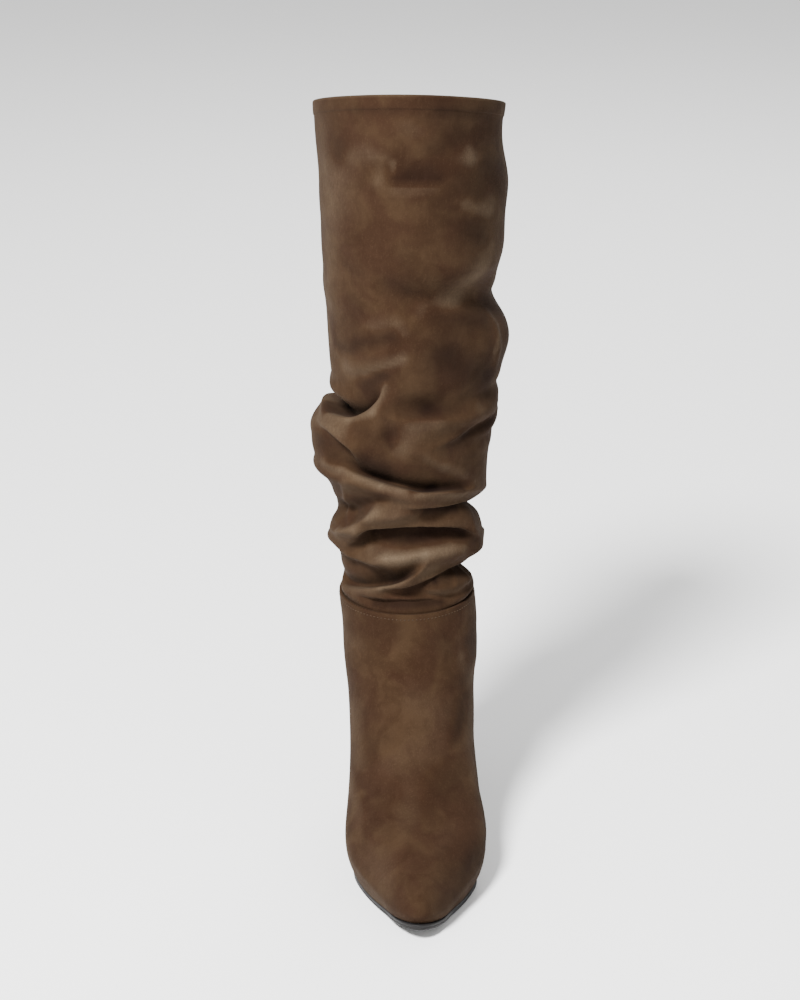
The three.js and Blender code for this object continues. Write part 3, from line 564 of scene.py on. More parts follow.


# lighter (above 0) and darker streaks, tone with painted highlights and painted shade: first turn and height, last turn
# and height, width, strength
legTonesAndPaintedLight = [
    # pale, upper leg: lighter tone with some painted highlights
    (-50, 415, -52, 403, 12, 0.3), (-56, 390, -68, 336, 9, 0.2), (-62, 442, -65, 418, 6, 0.2),
    (40, 434, 40, 428, 4, 0.5), (20, 431, 48, 427, 5, 0.2), (-7, 428, -7, 422, 2, 0.4),
    (-15, 425, -17, 416, 3, 0.2), (37, 402, 56, 394, 4.5, 0.5), (57, 382, 61, 373, 3, 0.3),
    (57, 371, 52, 357, 7, 0.4), (49, 358, 34, 344, 8, 0.3), (38, 341, 13, 339, 5, 0.3),
    (-24, 330, -9, 333, 4, 0.2), (-4, 333, -1, 327, 3, 0.2), (-32, 299, -1, 312, 3, 0.5),
    (-49, 300, -40, 297, 5, 0.4), (-68, 311, -62, 308, 4, 0.3), (69, 322, 61, 310, 2, 0.4),
    (61, 308, 62, 300, 2, 0.4), (-5, 414, 17, 413, 4, 0.2), (-19, 431, -12, 431, 3, 0.2),
    (4, 449, 12, 446, 6, 0.2), (-34, 429, -24, 433, 5, 0.2), (53, 411, 62, 398, 3, 0.2),
    (-75, 322, -73, 314, 3, 0.3),
    # dark, upper leg: darker tone with painted shade in dents and a painted shadow under the hem
    (21, 457, 58, 450, 3.5, -0.4), (-33, 456, -3, 458, 2.5, -0.3), (-44, 433, -46, 427, 5, -0.3),
    (19, 455, 34, 438, 12, -0.3), (16, 437, 21, 436, 5, -0.3), (-5, 419, 19, 419, 3.5, -0.8),
    (3, 423, 15, 425, 4, -0.4), (53, 423, 71, 416, 6, -0.5), (50, 415, 68, 403, 5, -0.3),
    (30, 418, 45, 404, 5, -0.3), (41, 387, 56, 377, 7, -0.5), (22, 404, 29, 397, 9, -0.2),
    (-1, 375, 3, 366, 5, -0.2), (-9, 357, -1, 354, 6, -0.4), (3, 351, 17, 348, 3, -0.3),
    (-42, 364, -32, 362, 4, -0.2), (-37, 344, -34, 338, 5, -0.3), (19, 336, 57, 328, 4.5, -0.5),
    (22, 327, 42, 326, 5, -0.2), (-36, 318, -9, 324, 4.5, -0.6), (-61, 311, -42, 313, 4, -0.5),
    (28, 309, 49, 297, 12, -0.7), (62, 293, 65, 282, 6, -0.5), (21, 315, 28, 315, 6, -0.3),
    (-36, 293, -15, 300, 4, -0.5), (75, 305, 77, 298, 4, -0.5), (74, 336, 71, 330, 6, -0.2),
    (-40, 284, -30, 288, 5, -0.3),
    # pale, slouch: painted highlights and wear along the fold crests
    (-16, 295, -24, 277, 3, 0.4), (-24, 277, -44, 269, 2.5, 0.3), (-44, 269, -64, 269, 2, 0.2),
    (-79, 259, -45, 263, 5, 0.3), (-60, 240, -48, 238, 4, 0.3), (-44, 239, -17, 232, 2.5, 0.4),
    (-17, 232, 11, 227, 2.5, 0.3), (11, 227, 52, 220, 3, 0.2), (-41, 232, -53, 203, 2, 0.2),
    (-60, 195, -41, 199, 4, 0.2), (-41, 201, -21, 214, 3, 0.3), (-21, 218, -3, 220, 7, 0.2),
    (-42, 182, -28, 188, 4, 0.3), (-24, 190, -5, 189, 6, 0.2), (-30, 185, 37, 186, 5, 0.4),
    (-16, 183, 15, 184, 3.5, 0.4), (15, 184, 49, 184, 3, 0.3), (16, 173, 26, 174, 4, 0.3),
    (-69, 154, -20, 164, 2.5, 0.2), (-20, 164, 5, 173, 2, 0.3), (-13, 258, -3, 256, 6, 0.2),
    (-3, 258, 5, 265, 6, 0.2), (4, 271, 22, 271, 4, 0.2), (15, 248, 30, 241, 3, 0.2),
    (30, 242, 50, 232, 3, 0.2), (21, 238, 34, 234, 4, 0.2), (62, 226, 68, 221, 2.5, 0.2),
    (53, 276, 57, 271, 3, 0.2), (68, 250, 73, 245, 3, 0.2), (77, 192, 78, 194, 3, 0.2),
    (50, 182, 60, 183, 3, 0.2), (22, 160, 38, 156, 3, 0.2),
    # dark, slouch: painted shade in the fold troughs
    (-85, 269, -69, 269, 2.5, -0.7), (-36, 266, -17, 261, 6, -0.3), (-15, 275, -9, 261, 6, -0.3),
    (-12, 260, -9, 259, 3, -0.4), (15, 281, 30, 278, 5, -0.4), (0, 276, 15, 279, 5, -0.3),
    (28, 255, 45, 259, 5, -0.4), (45, 259, 77, 260, 4, -0.4), (-30, 248, -15, 243, 6, -0.6),
    (-65, 251, -56, 245, 5, -0.3), (-52, 243, -40, 241, 4, -0.3), (5, 229, 24, 232, 2.5, -0.6),
    (24, 232, 49, 225, 3, -0.8), (16, 209, 44, 207, 2.5, -0.8), (-44, 217, -15, 223, 4, -0.3),
    (-50, 206, -32, 206, 4, -0.3), (-49, 186, -30, 190, 4, -0.4), (-28, 192, 54, 192, 3, -0.4),
    (54, 189, 65, 185, 4, -0.4), (-15, 173, 4, 176, 4, -0.5), (1, 160, 28, 164, 2, -0.5),
    (28, 164, 56, 165, 2, -0.4), (62, 169, 64, 164, 3, -0.5), (-28, 151, 33, 152, 2.5, -0.6),
]
# the same for the foot, by across and height: tone with painted highlights and painted shade
footTonesAndPaintedLight = [
    (-30, 90, -28, 61, 5, 0.2), (-31, 46, -26, 42, 6, 0.2), (-34, 22, -30, 17, 5, 0.2),
    (-2, 31, 19, 34, 14, 0.2), (31, 129, 35, 118, 3, 0.2), (35, 118, 40, 100, 3, 0.2),
    (40, 95, 42, 57, 4, 0.2), (-1, 53, 6, 49, 8, 0.1), (-8, 70, 17, 76, 12, 0.1),
    (7, 100, 23, 92, 8, 0.1), (-36, 124, -28, 125, 4, 0.1), (-10, 23, -17, 24, 8, 0.1),
    (-15, 139, -3, 139, 8, -0.2), (21, 132, 26, 125, 7, -0.3), (39, 123, 40, 117, 4, -0.3),
    (-36, 95, -33, 93, 5, -0.2), (32, 78, 36, 94, 3.5, -0.4), (35, 82, 36, 86, 3, -0.3),
    (-18, 73, -8, 80, 6, -0.2), (-22, 52, -4, 56, 5, -0.2), (23, 58, 34, 58, 8, -0.2),
    (44, 28, 49, 17, 8, -0.4), (42, 26, 39, 21, 6, -0.3), (7, 30, 24, 24, 12, -0.3),
    (15, 41, 23, 53, 9, -0.1), (-18, 42, -9, 42, 6, -0.2),
]


def streakToneAndLight(away, scale, height, streaks):
    total = np.zeros(np.broadcast(away(0), height).shape)
    for first, height0, last, height1, width, amount in streaks:
        longU, longV = (last - first) * scale, height1 - height0
        awayU, awayV = away(first) * scale, height - height0
        share = np.clip((awayU * longU + awayV * longV) / (longU ** 2 + longV ** 2), 0, 1)
        distance = np.hypot(awayU - share * longU, awayV - share * longV)
        total += amount * np.exp(-(distance / width) ** 2)
    return total


def legStreaks(turn, height):
    return streakToneAndLight(lambda degrees: turnGap(turn, degrees), math.radians(shaft["radius"]), height, legTonesAndPaintedLight)


def creaseFields(turn, height):
    push = np.zeros(turn.shape)
    wearAndPaintedLight = np.zeros(turn.shape)
    slideU = np.zeros(turn.shape)
    slideV = np.zeros(turn.shape)
    for _, side, lipWidth, diveWidth, tuck, knots in creases:
        widest = 5 * max(lipWidth, diveWidth) + 6
        turns = [knot[0] for knot in knots]
        highs = [knot[1] for knot in knots]
        middle = (min(turns) + max(turns)) / 2
        reach = (max(turns) - min(turns)) / 2 + math.degrees(widest / shaft["radius"])
        near = (np.abs(turnGap(turn, middle)) < reach)
        near = near & (height > min(highs) - widest) & (height < max(highs) + widest)
        if not near.any():
            continue
        signed, along, acrossU, acrossV = lineField(turn[near], height[near], [knot[:2] for knot in knots])
        runsBack = -1 if turns[-1] < turns[0] else 1
        away = signed * runsBack * side
        places = np.arange(len(knots))
        lip = curveThrough(places, [knot[2] for knot in knots], along)
        dive = curveThrough(places, [knot[3] for knot in knots], along)
        lipShape = np.where(away < 0, np.exp(-(away / lipWidth) ** 2),
                            np.exp(-(away / (0.45 * diveWidth)) ** 2))
        share = np.clip(away / diveWidth, 0, None)
        diveShape = share * np.exp(1 - share)
        push[near] += lip * lipShape - dive * diveShape
        slide = -tuck * dive * diveShape * side * runsBack
        slideU[near] += slide * acrossU
        slideV[near] += slide * acrossV
        # crests are worn pale with a painted highlight, troughs are darkened with painted shade
        wearAndPaintedLight[near] += shaft["crestWearAndHighlight"] * lip * lipShape - shaft["troughPaintedShade"] * dive * diveShape ** 2
    return push, slideU, slideV, wearAndPaintedLight


def shaftSkin():
    settings = shaft
    turn = 2 * math.pi * np.arange(settings["columns"]) / settings["columns"]
    seam = footPart["seamHeight"]
    tuck = footPart["wall"] + settings["lapGap"]
    lapRing = footRing(len(footRings) - 1, turn)
    ankleRing = footRing(len(footRings), turn)
    out = place(np.sin(turn) / footPart["ankleWidth"], np.cos(turn) / footPart["ankleDepth"], 0)
    out = out / np.linalg.norm(out, axis=-1, keepdims=True)
    lapRows = [blendTo(lapRing, ankleRing, share) - out * tuck
               for share in np.linspace(0, 1, settings["lapRows"])[:-1]]
    slouch = np.linspace(seam, settings["slouchTop"], settings["slouchRows"])
    heights = [np.full(turn.shape, level) for level in slouch]
    top = collarHeight(turn)
    hemFoot = top - settings["hem"]
    for share in np.linspace(0, 1, settings["legRows"])[1:]:
        heights.append(blendTo(np.full(turn.shape, float(settings["slouchTop"])), hemFoot - 0.6, share))
    heights = np.stack(heights)
    turns = np.broadcast_to(turn, heights.shape)
    base, outward = shaftSection(turns, heights)
    push = broadPush(turns, heights) + trimPush(turns, heights)
    tucked = tuck * (1 - smoothStep(seam, seam + settings["riseOverEdge"], heights))
    sharp, slideU, slideV, wearAndPaintedLight = creaseFields(turns, heights)
    # the rolls stop short of the seam and of the hem
    calm = smoothStep(seam, seam + 7, heights) * smoothStep(0, 22, collarHeight(turns) - settings["hem"] - heights)
    sharp, slideU, slideV, wearAndPaintedLight = sharp * calm, slideU * calm, slideV * calm, wearAndPaintedLight * calm
    # the leg streaks add tone, painted highlights and painted shade, including a painted shadow under the hem
    wearAndPaintedLight = wearAndPaintedLight + legStreaks(turns, heights)
    wobble = unevenness(turns, heights, 5, 9, 0.75) * calm
    small = unevenness(turns * 3, heights * 2.4, 8, 9, 0.22) * calm
    tangent = np.stack([outward[..., 1], -outward[..., 0], np.zeros(turns.shape)], -1)
    rows = base + outward * (push - tucked + sharp + wobble + small)[..., None]
    rows = rows + tangent * slideU[..., None]
    rows[..., 2] += slideV
    rows = np.concatenate([np.stack(lapRows), rows])
    wearAndPaintedLight = np.concatenate([np.repeat(wearAndPaintedLight[:1], len(lapRows), 0), wearAndPaintedLight])
    return rows, turn, wearAndPaintedLight


def makeShaft(suede, lining):
    settings = shaft
    skin, turn, wearAndPaintedLight = shaftSkin()
    soft = softenGrid(skin, 3, 0.7)
    soft[:settings["lapRows"] + 2] = skin[:settings["lapRows"] + 2]
    skin = soft
    top = collarHeight(turn)
    hemRows, hemToneAndLight = [], []
    # turned hem: a small step, a flat band and a rolled edge
    profile = [(-settings["hem"] - 0.25, 0.15), (-settings["hem"] + 0.1, 0.75), (-settings["hem"] + 0.7, 1), (-5.6, 1.05),
               (-3.6, 1.05), (-1.7, 1.0), (-0.7, 0.8), (-0.2, 0.35), (0, -0.6)]
    for rise, share in profile:
        base, out = shaftSection(turn, top + rise)
        push = trimPush(turn, top + rise) + settings["hemStep"] * share
        hemRows.append(base + out * push[:, None])
        # the hem takes the leg's painted light and shade streaks plus a worn rolled edge
        hemToneAndLight.append(legStreaks(turn, top + rise) + settings["edgeWear"] * smoothStep(-1.5, 0, rise))
    wall = settings["wall"]
    innerTop = []
    for rise, inward in ((-0.2, 1.0), (-0.8, 1.3), (-2.5, 1.45), (-5, 1.5), (-8.2, 1.5), (-8.8, 1.05)):
        base, out = shaftSection(turn, top + rise)
        innerTop.append(base + out * (trimPush(turn, top + rise) - wall * inward)[:, None])
    # the lining hangs just inside the deepest part of every fold
    depthTable = skinDepth(skin, turn)
    lastTop = top - 10
    innerRows = []
    foot = footPart["seamHeight"] - footPart["lap"]
    for share in np.linspace(0, 1, settings["innerRows"]):
        height = blendTo(lastTop, np.full(turn.shape, float(foot)), share)
        if share < 1:
            base, out = shaftSection(turn, np.maximum(height, footPart["seamHeight"]))
            base[:, 2] = height
            row = base + out * depthTable(height)[:, None]
        else:
            row = skin[0].copy()
            _, out = shaftSection(turn, height + footPart["lap"])
            row = skin[0] - out * wall
        innerRows.append(row)
    inner = softenGrid(np.stack(innerRows), 2, 0.4)
    inner[-1] = innerRows[-1]
    rows = np.concatenate([skin, np.stack(hemRows), np.stack(innerTop), inner])
    plain = np.zeros((len(rows) - len(skin) - len(hemRows), len(turn)))
    wearAndPaintedLight = np.concatenate([wearAndPaintedLight, np.stack(hemToneAndLight), plain])
    count = settings["columns"]
    faces = ringFaces(len(rows), count, closed=True)
    outside = len(skin) + len(hemRows) + 4
    slots = [0] * (count * outside) + [1] * (count * (len(rows) - outside))
    piece = makePiece("shaft_suede", toFrame(rows), faces, [suede, lining], slots, wearAndPaintedLight)
    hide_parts("shaft")
    return skin, turn


# how far inside the plain outline the lining lies, by height, at each column
def skinDepth(skin, turn):
    settings = shaft
    foot = footPart["seamHeight"] - footPart["lap"]
    levels = np.arange(foot, settings["collarFrontHeight"] + 1, 1.5)
    table = np.full((len(levels), len(turn)), 0.6)
    heights = skin[..., 2]
    turns = np.broadcast_to(turn, heights.shape)
    base, out = shaftSection(turns, np.maximum(heights, footPart["seamHeight"]))
    outwards = ((skin - base) * out).sum(-1)
    row = np.clip(((heights - foot) / 1.5).round().astype(int), 0, len(levels) - 1)
    column = np.broadcast_to(np.arange(len(turn)), row.shape)
    np.minimum.at(table, (row, column), outwards)
    # deepest within a few millimetres up, down and to the sides
    for _ in range(3):
        table = np.minimum(table, np.minimum(np.roll(table, 1, 1), np.roll(table, -1, 1)))
        padded = np.pad(table, ((1, 1), (0, 0)), mode="edge")
        table = np.minimum(table, np.minimum(padded[:-2], padded[2:]))
    table = table - settings["wall"]

    def at(height):
        level = np.clip((height - foot) / 1.5, 0, len(levels) - 1.001)
        low = level.astype(int)
        share = level - low
        columns = np.arange(len(turn))
        return blendTo(table[low, columns], table[low + 1, columns], share)
    return at


# stitching

stitches = {"long": 1.5, "pitch": 2.4, "thick": 0.3, "belowEdge": 2.4, "proud": 0.12, "sides": 6, "rings": 5}


def makeStitches(name, line, normals, material, settings=stitches):
    closed = np.concatenate([line, line[:1]])
    steps = np.linalg.norm(np.diff(closed, axis=0), axis=-1)
    total = np.concatenate([[0], np.cumsum(steps)])
    count = int(total[-1] / settings["pitch"])
    closedNormals = np.concatenate([normals, normals[:1]])
    points, faces = [], []
    rings, sides = settings["rings"], settings["sides"]

    def sample(values, at):
        return np.stack([np.interp(at % total[-1], total, values[:, axis]) for axis in range(3)], -1)
    for index in range(count):
        middle = index * total[-1] / count
        spots = np.linspace(-0.5, 0.5, rings)
        first = len(points)
        for spot in spots:
            at = middle + spot * settings["long"]
            centre = sample(closed, at)
            normal = sample(closedNormals, at)
            normal = normal / np.linalg.norm(normal)
            ahead = sample(closed, at + 0.4) - sample(closed, at - 0.4)
            ahead = ahead / np.linalg.norm(ahead)
            side = np.cross(ahead, normal)
            swell = math.sqrt(max(1 - (2 * spot) ** 2, 0.08))
            sink = settings["proud"] - 0.5 * (2 * spot) ** 4
            for corner in range(sides):
                angle = 2 * math.pi * corner / sides
                points.append(centre + normal * (sink + settings["thick"] * swell * math.cos(angle))
                              + side * settings["thick"] * swell * math.sin(angle))
        for row in range(rings - 1):
            for corner in range(sides):
                after = (corner + 1) % sides
                faces.append([first + row * sides + corner, first + row * sides + after,
                              first + (row + 1) * sides + after, first + (row + 1) * sides + corner])
        faces.append([first + corner for corner in reversed(range(sides))])
        faces.append([first + (rings - 1) * sides + corner for corner in range(sides)])
    piece = makePiece(name, toFrame(np.array(points)), faces, [material])
    return piece


# outsole, insole, heel

outsole = {"count": 260, "grooveInset": 4.2, "grooveWidth": 1.0, "grooveDepth": 0.35}


def makeOutsole(edge, tread):
    count = outsole["count"]
    bevel = soleLine["bevel"]

    def lifted(amount):
        return lambda along: soleBottom(along) + amount
    start = outsole["grooveInset"]
    end = start + outsole["grooveWidth"]
    deep = outsole["grooveDepth"]
    profile = [(end + 0.1, 0), (end, deep), (start, deep), (start - 0.1, 0), (bevel * 1.6, 0), (bevel, 0.02),
               (bevel * 0.45, 0.2), (0.15, 0.45), (0, bevel), (0, bevel + 0.9), (0.1, bevel + 1.0), (0.1, bevel + 1.2), (0, bevel + 1.3),
               (0, soleLine["thickness"] - 0.5), (0.12, soleLine["thickness"] - 0.14), (0.5, soleLine["thickness"])]
    rows = [soleRing(count, inset, lifted(lift)) for inset, lift in profile]
    points = np.concatenate(rows)
    faces = ringFaces(len(rows), count)
    slots = [1] * (count * 5) + [0] * (count * (len(rows) - 6))
    low = stripFaces(0, count, False)
    high = stripFaces((len(rows) - 1) * count, count, True)
    faces += low + high
    slots += [1] * len(low) + [0] * len(high)
    piece = makePiece("outsole_edge_and_tread", toFrame(points), faces, [edge, tread], slots)
    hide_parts("outsole")
    return piece


insole = {"count": 200, "thickness": 2.5, "gap": 0.3, "sideGap": 2.4}


def makeInsole(leather):
    heelInset = footPart["heelCurve"] * footRings[0, 0] + insole["sideGap"]
    ankleFront = footPart["heelCurve"] + footPart["ankleDepth"]
    toeInset = soleLine["length"] - blendTo(ankleFront, soleLine["length"], footRings[0, 1]) + insole["sideGap"]
    profile = [(0.4, 0), (0, 0.25), (0, 1.7), (0.25, 2.3), (0.9, 2.5), (3.2, 2.5), (3.5, 2.36), (3.9, 2.36), (4.2, 2.5)]
    rows = []
    for inset, lift in profile:
        rise = lift + insole["gap"]
        rows.append(soleRing(insole["count"], insole["sideGap"] + inset,
                             lambda along, rise=rise: soleTop(along) + rise, heelInset + inset, toeInset + inset))
    points = np.concatenate(rows)
    faces = ringFaces(len(rows), insole["count"])
    faces += stripFaces(0, insole["count"], False)
    faces += stripFaces((len(rows) - 1) * insole["count"], insole["count"], True)
    piece = makePiece("insole_footbed", toFrame(points), faces, [leather])
    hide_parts("insole")
    return piece


heel = {
    "inset": 1.2, "footWidth": 46, "footLength": 45, "footBack": 8.5, "breastHollow": 2.5,
    "tip": 6, "tipBevel": 0.8, "gap": 0.3, "seatWidth": 53, "sideSteps": 64, "breastSteps": 16, "rows": 48,
    "at": (0, 0.25, 0.5, 0.75, 1), "back": (0, 0.12, 0.36, 0.68, 1),
    "front": (0, 0.12, 0.36, 0.7, 1), "width": (0, 0.06, 0.22, 0.55, 1),
}


def heelRing(share, inset, lift):
    back = blendTo(heel["footBack"], heel["inset"], curveThrough(heel["at"], heel["back"], share)) + inset
    front = blendTo(heel["footBack"] + heel["footLength"], soleLine["seatLength"] - heel["inset"],
                    curveThrough(heel["at"], heel["front"], share)) - inset
    half = blendTo(heel["footWidth"], heel["seatWidth"] - 2 * heel["inset"],
                   curveThrough(heel["at"], heel["width"], share)) / 2 - inset
    steps = heel["breastSteps"] + heel["sideSteps"]
    index = np.arange(2 * steps)
    step = np.minimum(index, 2 * steps - index)
    side = np.where(index < steps, 1, -1)
    across = np.minimum(step / heel["breastSteps"], 1)
    sideShare = np.clip((step - heel["breastSteps"]) / heel["sideSteps"], 0, 1)
    onSide = blendTo(front, back, np.sin(math.pi / 2 * sideShare))
    along = np.where(step < heel["breastSteps"], front - heel["breastHollow"] * (1 - across * across), onSide)
    rounding = np.where(step < heel["breastSteps"], across, endRound(onSide - back, soleLine["heelRadius"]))
    ring = place(side * half * rounding, along, 0)
    # ease the breast corners
    for _ in range(5):
        near = (np.roll(ring, 1, 0) + np.roll(ring, -1, 0)) / 2
        corner = np.exp(-((step - heel["breastSteps"]) / 3.0) ** 2)[:, None]
        ring = blendTo(ring, near, 0.7 * corner)
    ring[:, 2] = lift(ring[:, 1])
    return ring


def makeHeel(suede):
    foot = heel["tip"] + heel["gap"]
    rows = []
    for share in np.linspace(0, 1, heel["rows"]):
        rows.append(heelRing(share, 0, lambda along, share=share: blendTo(foot, soleBottom(along) - heel["gap"], share)))
    # small rounded turn-in at the foot of the cover
    low = [heelRing(0, 1.2, lambda along: np.full(along.shape, foot)),
           heelRing(0, 0.35, lambda along: np.full(along.shape, foot + 0.08))]
    rows[0][:, 2] += 0.45
    points = np.concatenate(low + rows)
    count = len(rows[0])
    total = len(low) + len(rows)
    faces = ringFaces(total, count)
    faces += stripFaces(0, count, False)
    faces += stripFaces((total - 1) * count, count, True)
    piece = makePiece("heel_cover", toFrame(points), faces, [suede])
    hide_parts("heel")
    return piece


def makeHeelTip(rubber):
    def level(height):
        return lambda along: np.full(along.shape, float(height))
    bevel = heel["tipBevel"]
    tip = heel["tip"]
    profile = [(bevel, 0), (bevel * 0.5, 0.12), (0.12, 0.45), (0, bevel), (0, tip * 0.5), (0, tip - 0.3), (0.3, tip)]
    rows = [heelRing(0, inset, level(height)) for inset, height in profile]
    count = len(rows[0])
    faces = ringFaces(len(rows), count)
    faces += stripFaces(0, count, False)
    faces += stripFaces((len(rows) - 1) * count, count, True)
    piece = makePiece("heel_tip_block", toFrame(np.concatenate(rows)), faces, [rubber])
    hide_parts("heel_tip")
    return piece


# materials

def addNode(tree, kind, settings=None, inputs=None):
    node = tree.nodes.new(kind)
    for key, value in (settings or {}).items():
        setattr(node, key, value)
    for key, value in (inputs or {}).items():
        if isinstance(value, bpy.types.NodeSocket):
            tree.links.new(value, node.inputs[key])
        else:
            node.inputs[key].default_value = value
    return node


def mathNode(tree, operation, first, second=0.0, clamp=False):
    return addNode(tree, "ShaderNodeMath", {"operation": operation, "use_clamp": clamp}, {0: first, 1: second}).outputs[0]


def noiseNode(tree, vector, scale, detail=2.0, roughness=0.5, distortion=0.0):
    return addNode(tree, "ShaderNodeTexNoise", None, {"Vector": vector, "Scale": scale, "Detail": detail,
                   "Roughness": roughness, "Distortion": distortion}).outputs["Fac"]


def rangeNode(tree, value, low, high, outLow=0.0, outHigh=1.0, soft=True):
    settings = {"interpolation_type": "SMOOTHSTEP" if soft else "LINEAR"}
    return addNode(tree, "ShaderNodeMapRange", settings, {"Value": value, "From Min": low, "From Max": high,
                   "To Min": outLow, "To Max": outHigh}).outputs["Result"]


def newGroup(name, inputs, outputs):
    group = bpy.data.node_groups.new(name, "ShaderNodeTree")
    for label, kind, value in inputs:
        socket = group.interface.new_socket(name=label, in_out="INPUT", socket_type=kind)
        if value is not None:
            socket.default_value = value
    for label, kind in outputs:
        group.interface.new_socket(name=label, in_out="OUTPUT", socket_type=kind)
    return group, group.nodes.new("NodeGroupInput").outputs, group.nodes.new("NodeGroupOutput").inputs


# brushed nap: broad patches, streaks and fine grain
def makeNapGroup():
    group, given, result = newGroup("brushedNap", [
        ("Patch Size", "NodeSocketFloat", 1.0), ("Streak", "NodeSocketFloat", 0.4), ("Grain", "NodeSocketFloat", 1.0),
        ("Shift", "NodeSocketVector", (0, 0, 0)),
    ], [(name, "NodeSocketFloat") for name in ("Patch", "Warm", "Fibre", "Height")])
    coords = addNode(group, "ShaderNodeTexCoord").outputs["Object"]
    moved = addNode(group, "ShaderNodeVectorMath", {"operation": "ADD"}, {0: coords, 1: given["Shift"]}).outputs[0]
    scaled = addNode(group, "ShaderNodeVectorMath", {"operation": "SCALE"},
                     {0: moved, "Scale": given["Patch Size"]}).outputs[0]
    broad = noiseNode(group, scaled, 26.0, 3.0, 0.55, 0.6)
    middle = noiseNode(group, scaled, 85.0, 3.0, 0.6, 0.9)
    stretched = addNode(group, "ShaderNodeMapping", None, {"Vector": scaled, "Scale": (1.0, 1.0, 0.28)}).outputs[0]
    streak = noiseNode(group, stretched, 210.0, 3.0, 0.6, 0.4)
    patch = mathNode(group, "ADD", mathNode(group, "MULTIPLY", broad, 0.55), mathNode(group, "MULTIPLY", middle, 0.45))
    lean = mathNode(group, "MULTIPLY", mathNode(group, "SUBTRACT", streak, 0.5), given["Streak"])
    patch = mathNode(group, "ADD", patch, lean)
    group.links.new(rangeNode(group, patch, 0.36, 0.64), result["Patch"])
    warm = noiseNode(group, addNode(group, "ShaderNodeVectorMath", {"operation": "ADD"},
                                    {0: scaled, 1: (3.1, 1.7, 0.4)}).outputs[0], 38.0, 2.0, 0.5, 0.5)
    group.links.new(rangeNode(group, warm, 0.38, 0.62), result["Warm"])
    fine = noiseNode(group, moved, 1500.0, 3.0, 0.7)
    hair = noiseNode(group, addNode(group, "ShaderNodeMapping", None,
                                    {"Vector": moved, "Rotation": (0.3, 0.5, 0.2), "Scale": (1, 1, 0.35)}).outputs[0], 900.0, 2.0, 0.6)
    fibre = mathNode(group, "ADD", mathNode(group, "MULTIPLY", fine, 0.6), mathNode(group, "MULTIPLY", hair, 0.4))
    group.links.new(rangeNode(group, fibre, 0.3, 0.7), result["Fibre"])
    grain = mathNode(group, "MULTIPLY", fibre, given["Grain"])
    group.links.new(mathNode(group, "ADD", grain, mathNode(group, "MULTIPLY", middle, 0.35)), result["Height"])
    return group


def newMaterial(name):
    material = bpy.data.materials.new(name)
    material.use_nodes = True
    tree = material.node_tree
    tree.nodes.clear()
    shader = tree.nodes.new("ShaderNodeBsdfPrincipled")
    output = tree.nodes.new("ShaderNodeOutputMaterial")
    tree.links.new(shader.outputs["BSDF"], output.inputs["Surface"])
    return material, tree, shader


def setShader(shader, values):
    for key, value in values.items():
        shader.inputs[key].default_value = value


def mixColour(tree, share, first, second, blend="MIX"):
    node = addNode(tree, "ShaderNodeMix", {"data_type": "RGBA", "blend_type": blend})
    for index, value in ((0, share), (6, first), (7, second)):
        if isinstance(value, bpy.types.NodeSocket):
            tree.links.new(value, node.inputs[index])
        else:
            node.inputs[index].default_value = value
    return node.outputs[2]


# the pale wear colour also paints highlights on crests; the deep colour paints shade in folds and under the hem
suedeLook = {
    "dark": (0.0122, 0.0054, 0.0026, 1), "brown": (0.0198, 0.009, 0.0042, 1), "olive": (0.0265, 0.0142, 0.0066, 1),
    "pale": (0.05, 0.03, 0.016, 1), "rubbedAndLit": (0.07, 0.05, 0.032, 1), "deep": (0.0042, 0.0014, 0.0007, 1),
    "speck": 0.2, "bump": 0.35, "bumpDistance": 0.0006,
    "sheen": 0.03, "sheenRoughness": 0.45, "sheenTint": (0.55, 0.42, 0.3, 1),
}


def makeSuede(name, nap, shift, patchSize=1.0, streak=0.4, contrast=1.0):
    look = suedeLook
    material, tree, shader = newMaterial(name)
    layer = addNode(tree, "ShaderNodeGroup", {"node_tree": nap}, {"Patch Size": patchSize, "Streak": streak,
                    "Grain": 1.0, "Shift": shift}).outputs
    warm = mixColour(tree, layer["Warm"], look["olive"], look["brown"])
    softened = mathNode(tree, "MULTIPLY", layer["Patch"], contrast)
    base = mixColour(tree, softened, warm, look["dark"])
    speck = rangeNode(tree, layer["Fibre"], 0.55, 1.0, 0.0, look["speck"])
    base = mixColour(tree, speck, base, look["pale"])
    # the point attribute lightens towards the pale colour (wear and painted highlights) and darkens towards the deep
    # colour (painted shade)
    wearAndPaintedLight = addNode(tree, "ShaderNodeAttribute", {"attribute_name": "wearAndPaintedLight"}).outputs["Fac"]
    uneven = rangeNode(tree, layer["Fibre"], 0.0, 1.0, 0.75, 1.25)
    rubbedAndLit = rangeNode(tree, mathNode(tree, "MULTIPLY", wearAndPaintedLight, uneven), 0, 1.3, 0, 1, False)
    base = mixColour(tree, rubbedAndLit, base, look["rubbedAndLit"])
    base = mixColour(tree, rangeNode(tree, wearAndPaintedLight, 0, -1.3, 0, 1, False), base, look["deep"])
    tree.links.new(base, shader.inputs["Base Color"])
    rough = rangeNode(tree, layer["Patch"], 0, 1, 0.9, 1.0)
    tree.links.new(rough, shader.inputs["Roughness"])
    bump = addNode(tree, "ShaderNodeBump", None, {"Strength": look["bump"], "Distance": look["bumpDistance"],
                   "Height": layer["Height"]})
    tree.links.new(bump.outputs[0], shader.inputs["Normal"])
    setShader(shader, {"Sheen Weight": look["sheen"], "Sheen Roughness": look["sheenRoughness"],
                       "Sheen Tint": look["sheenTint"], "Specular IOR Level": 0.08})
    return material


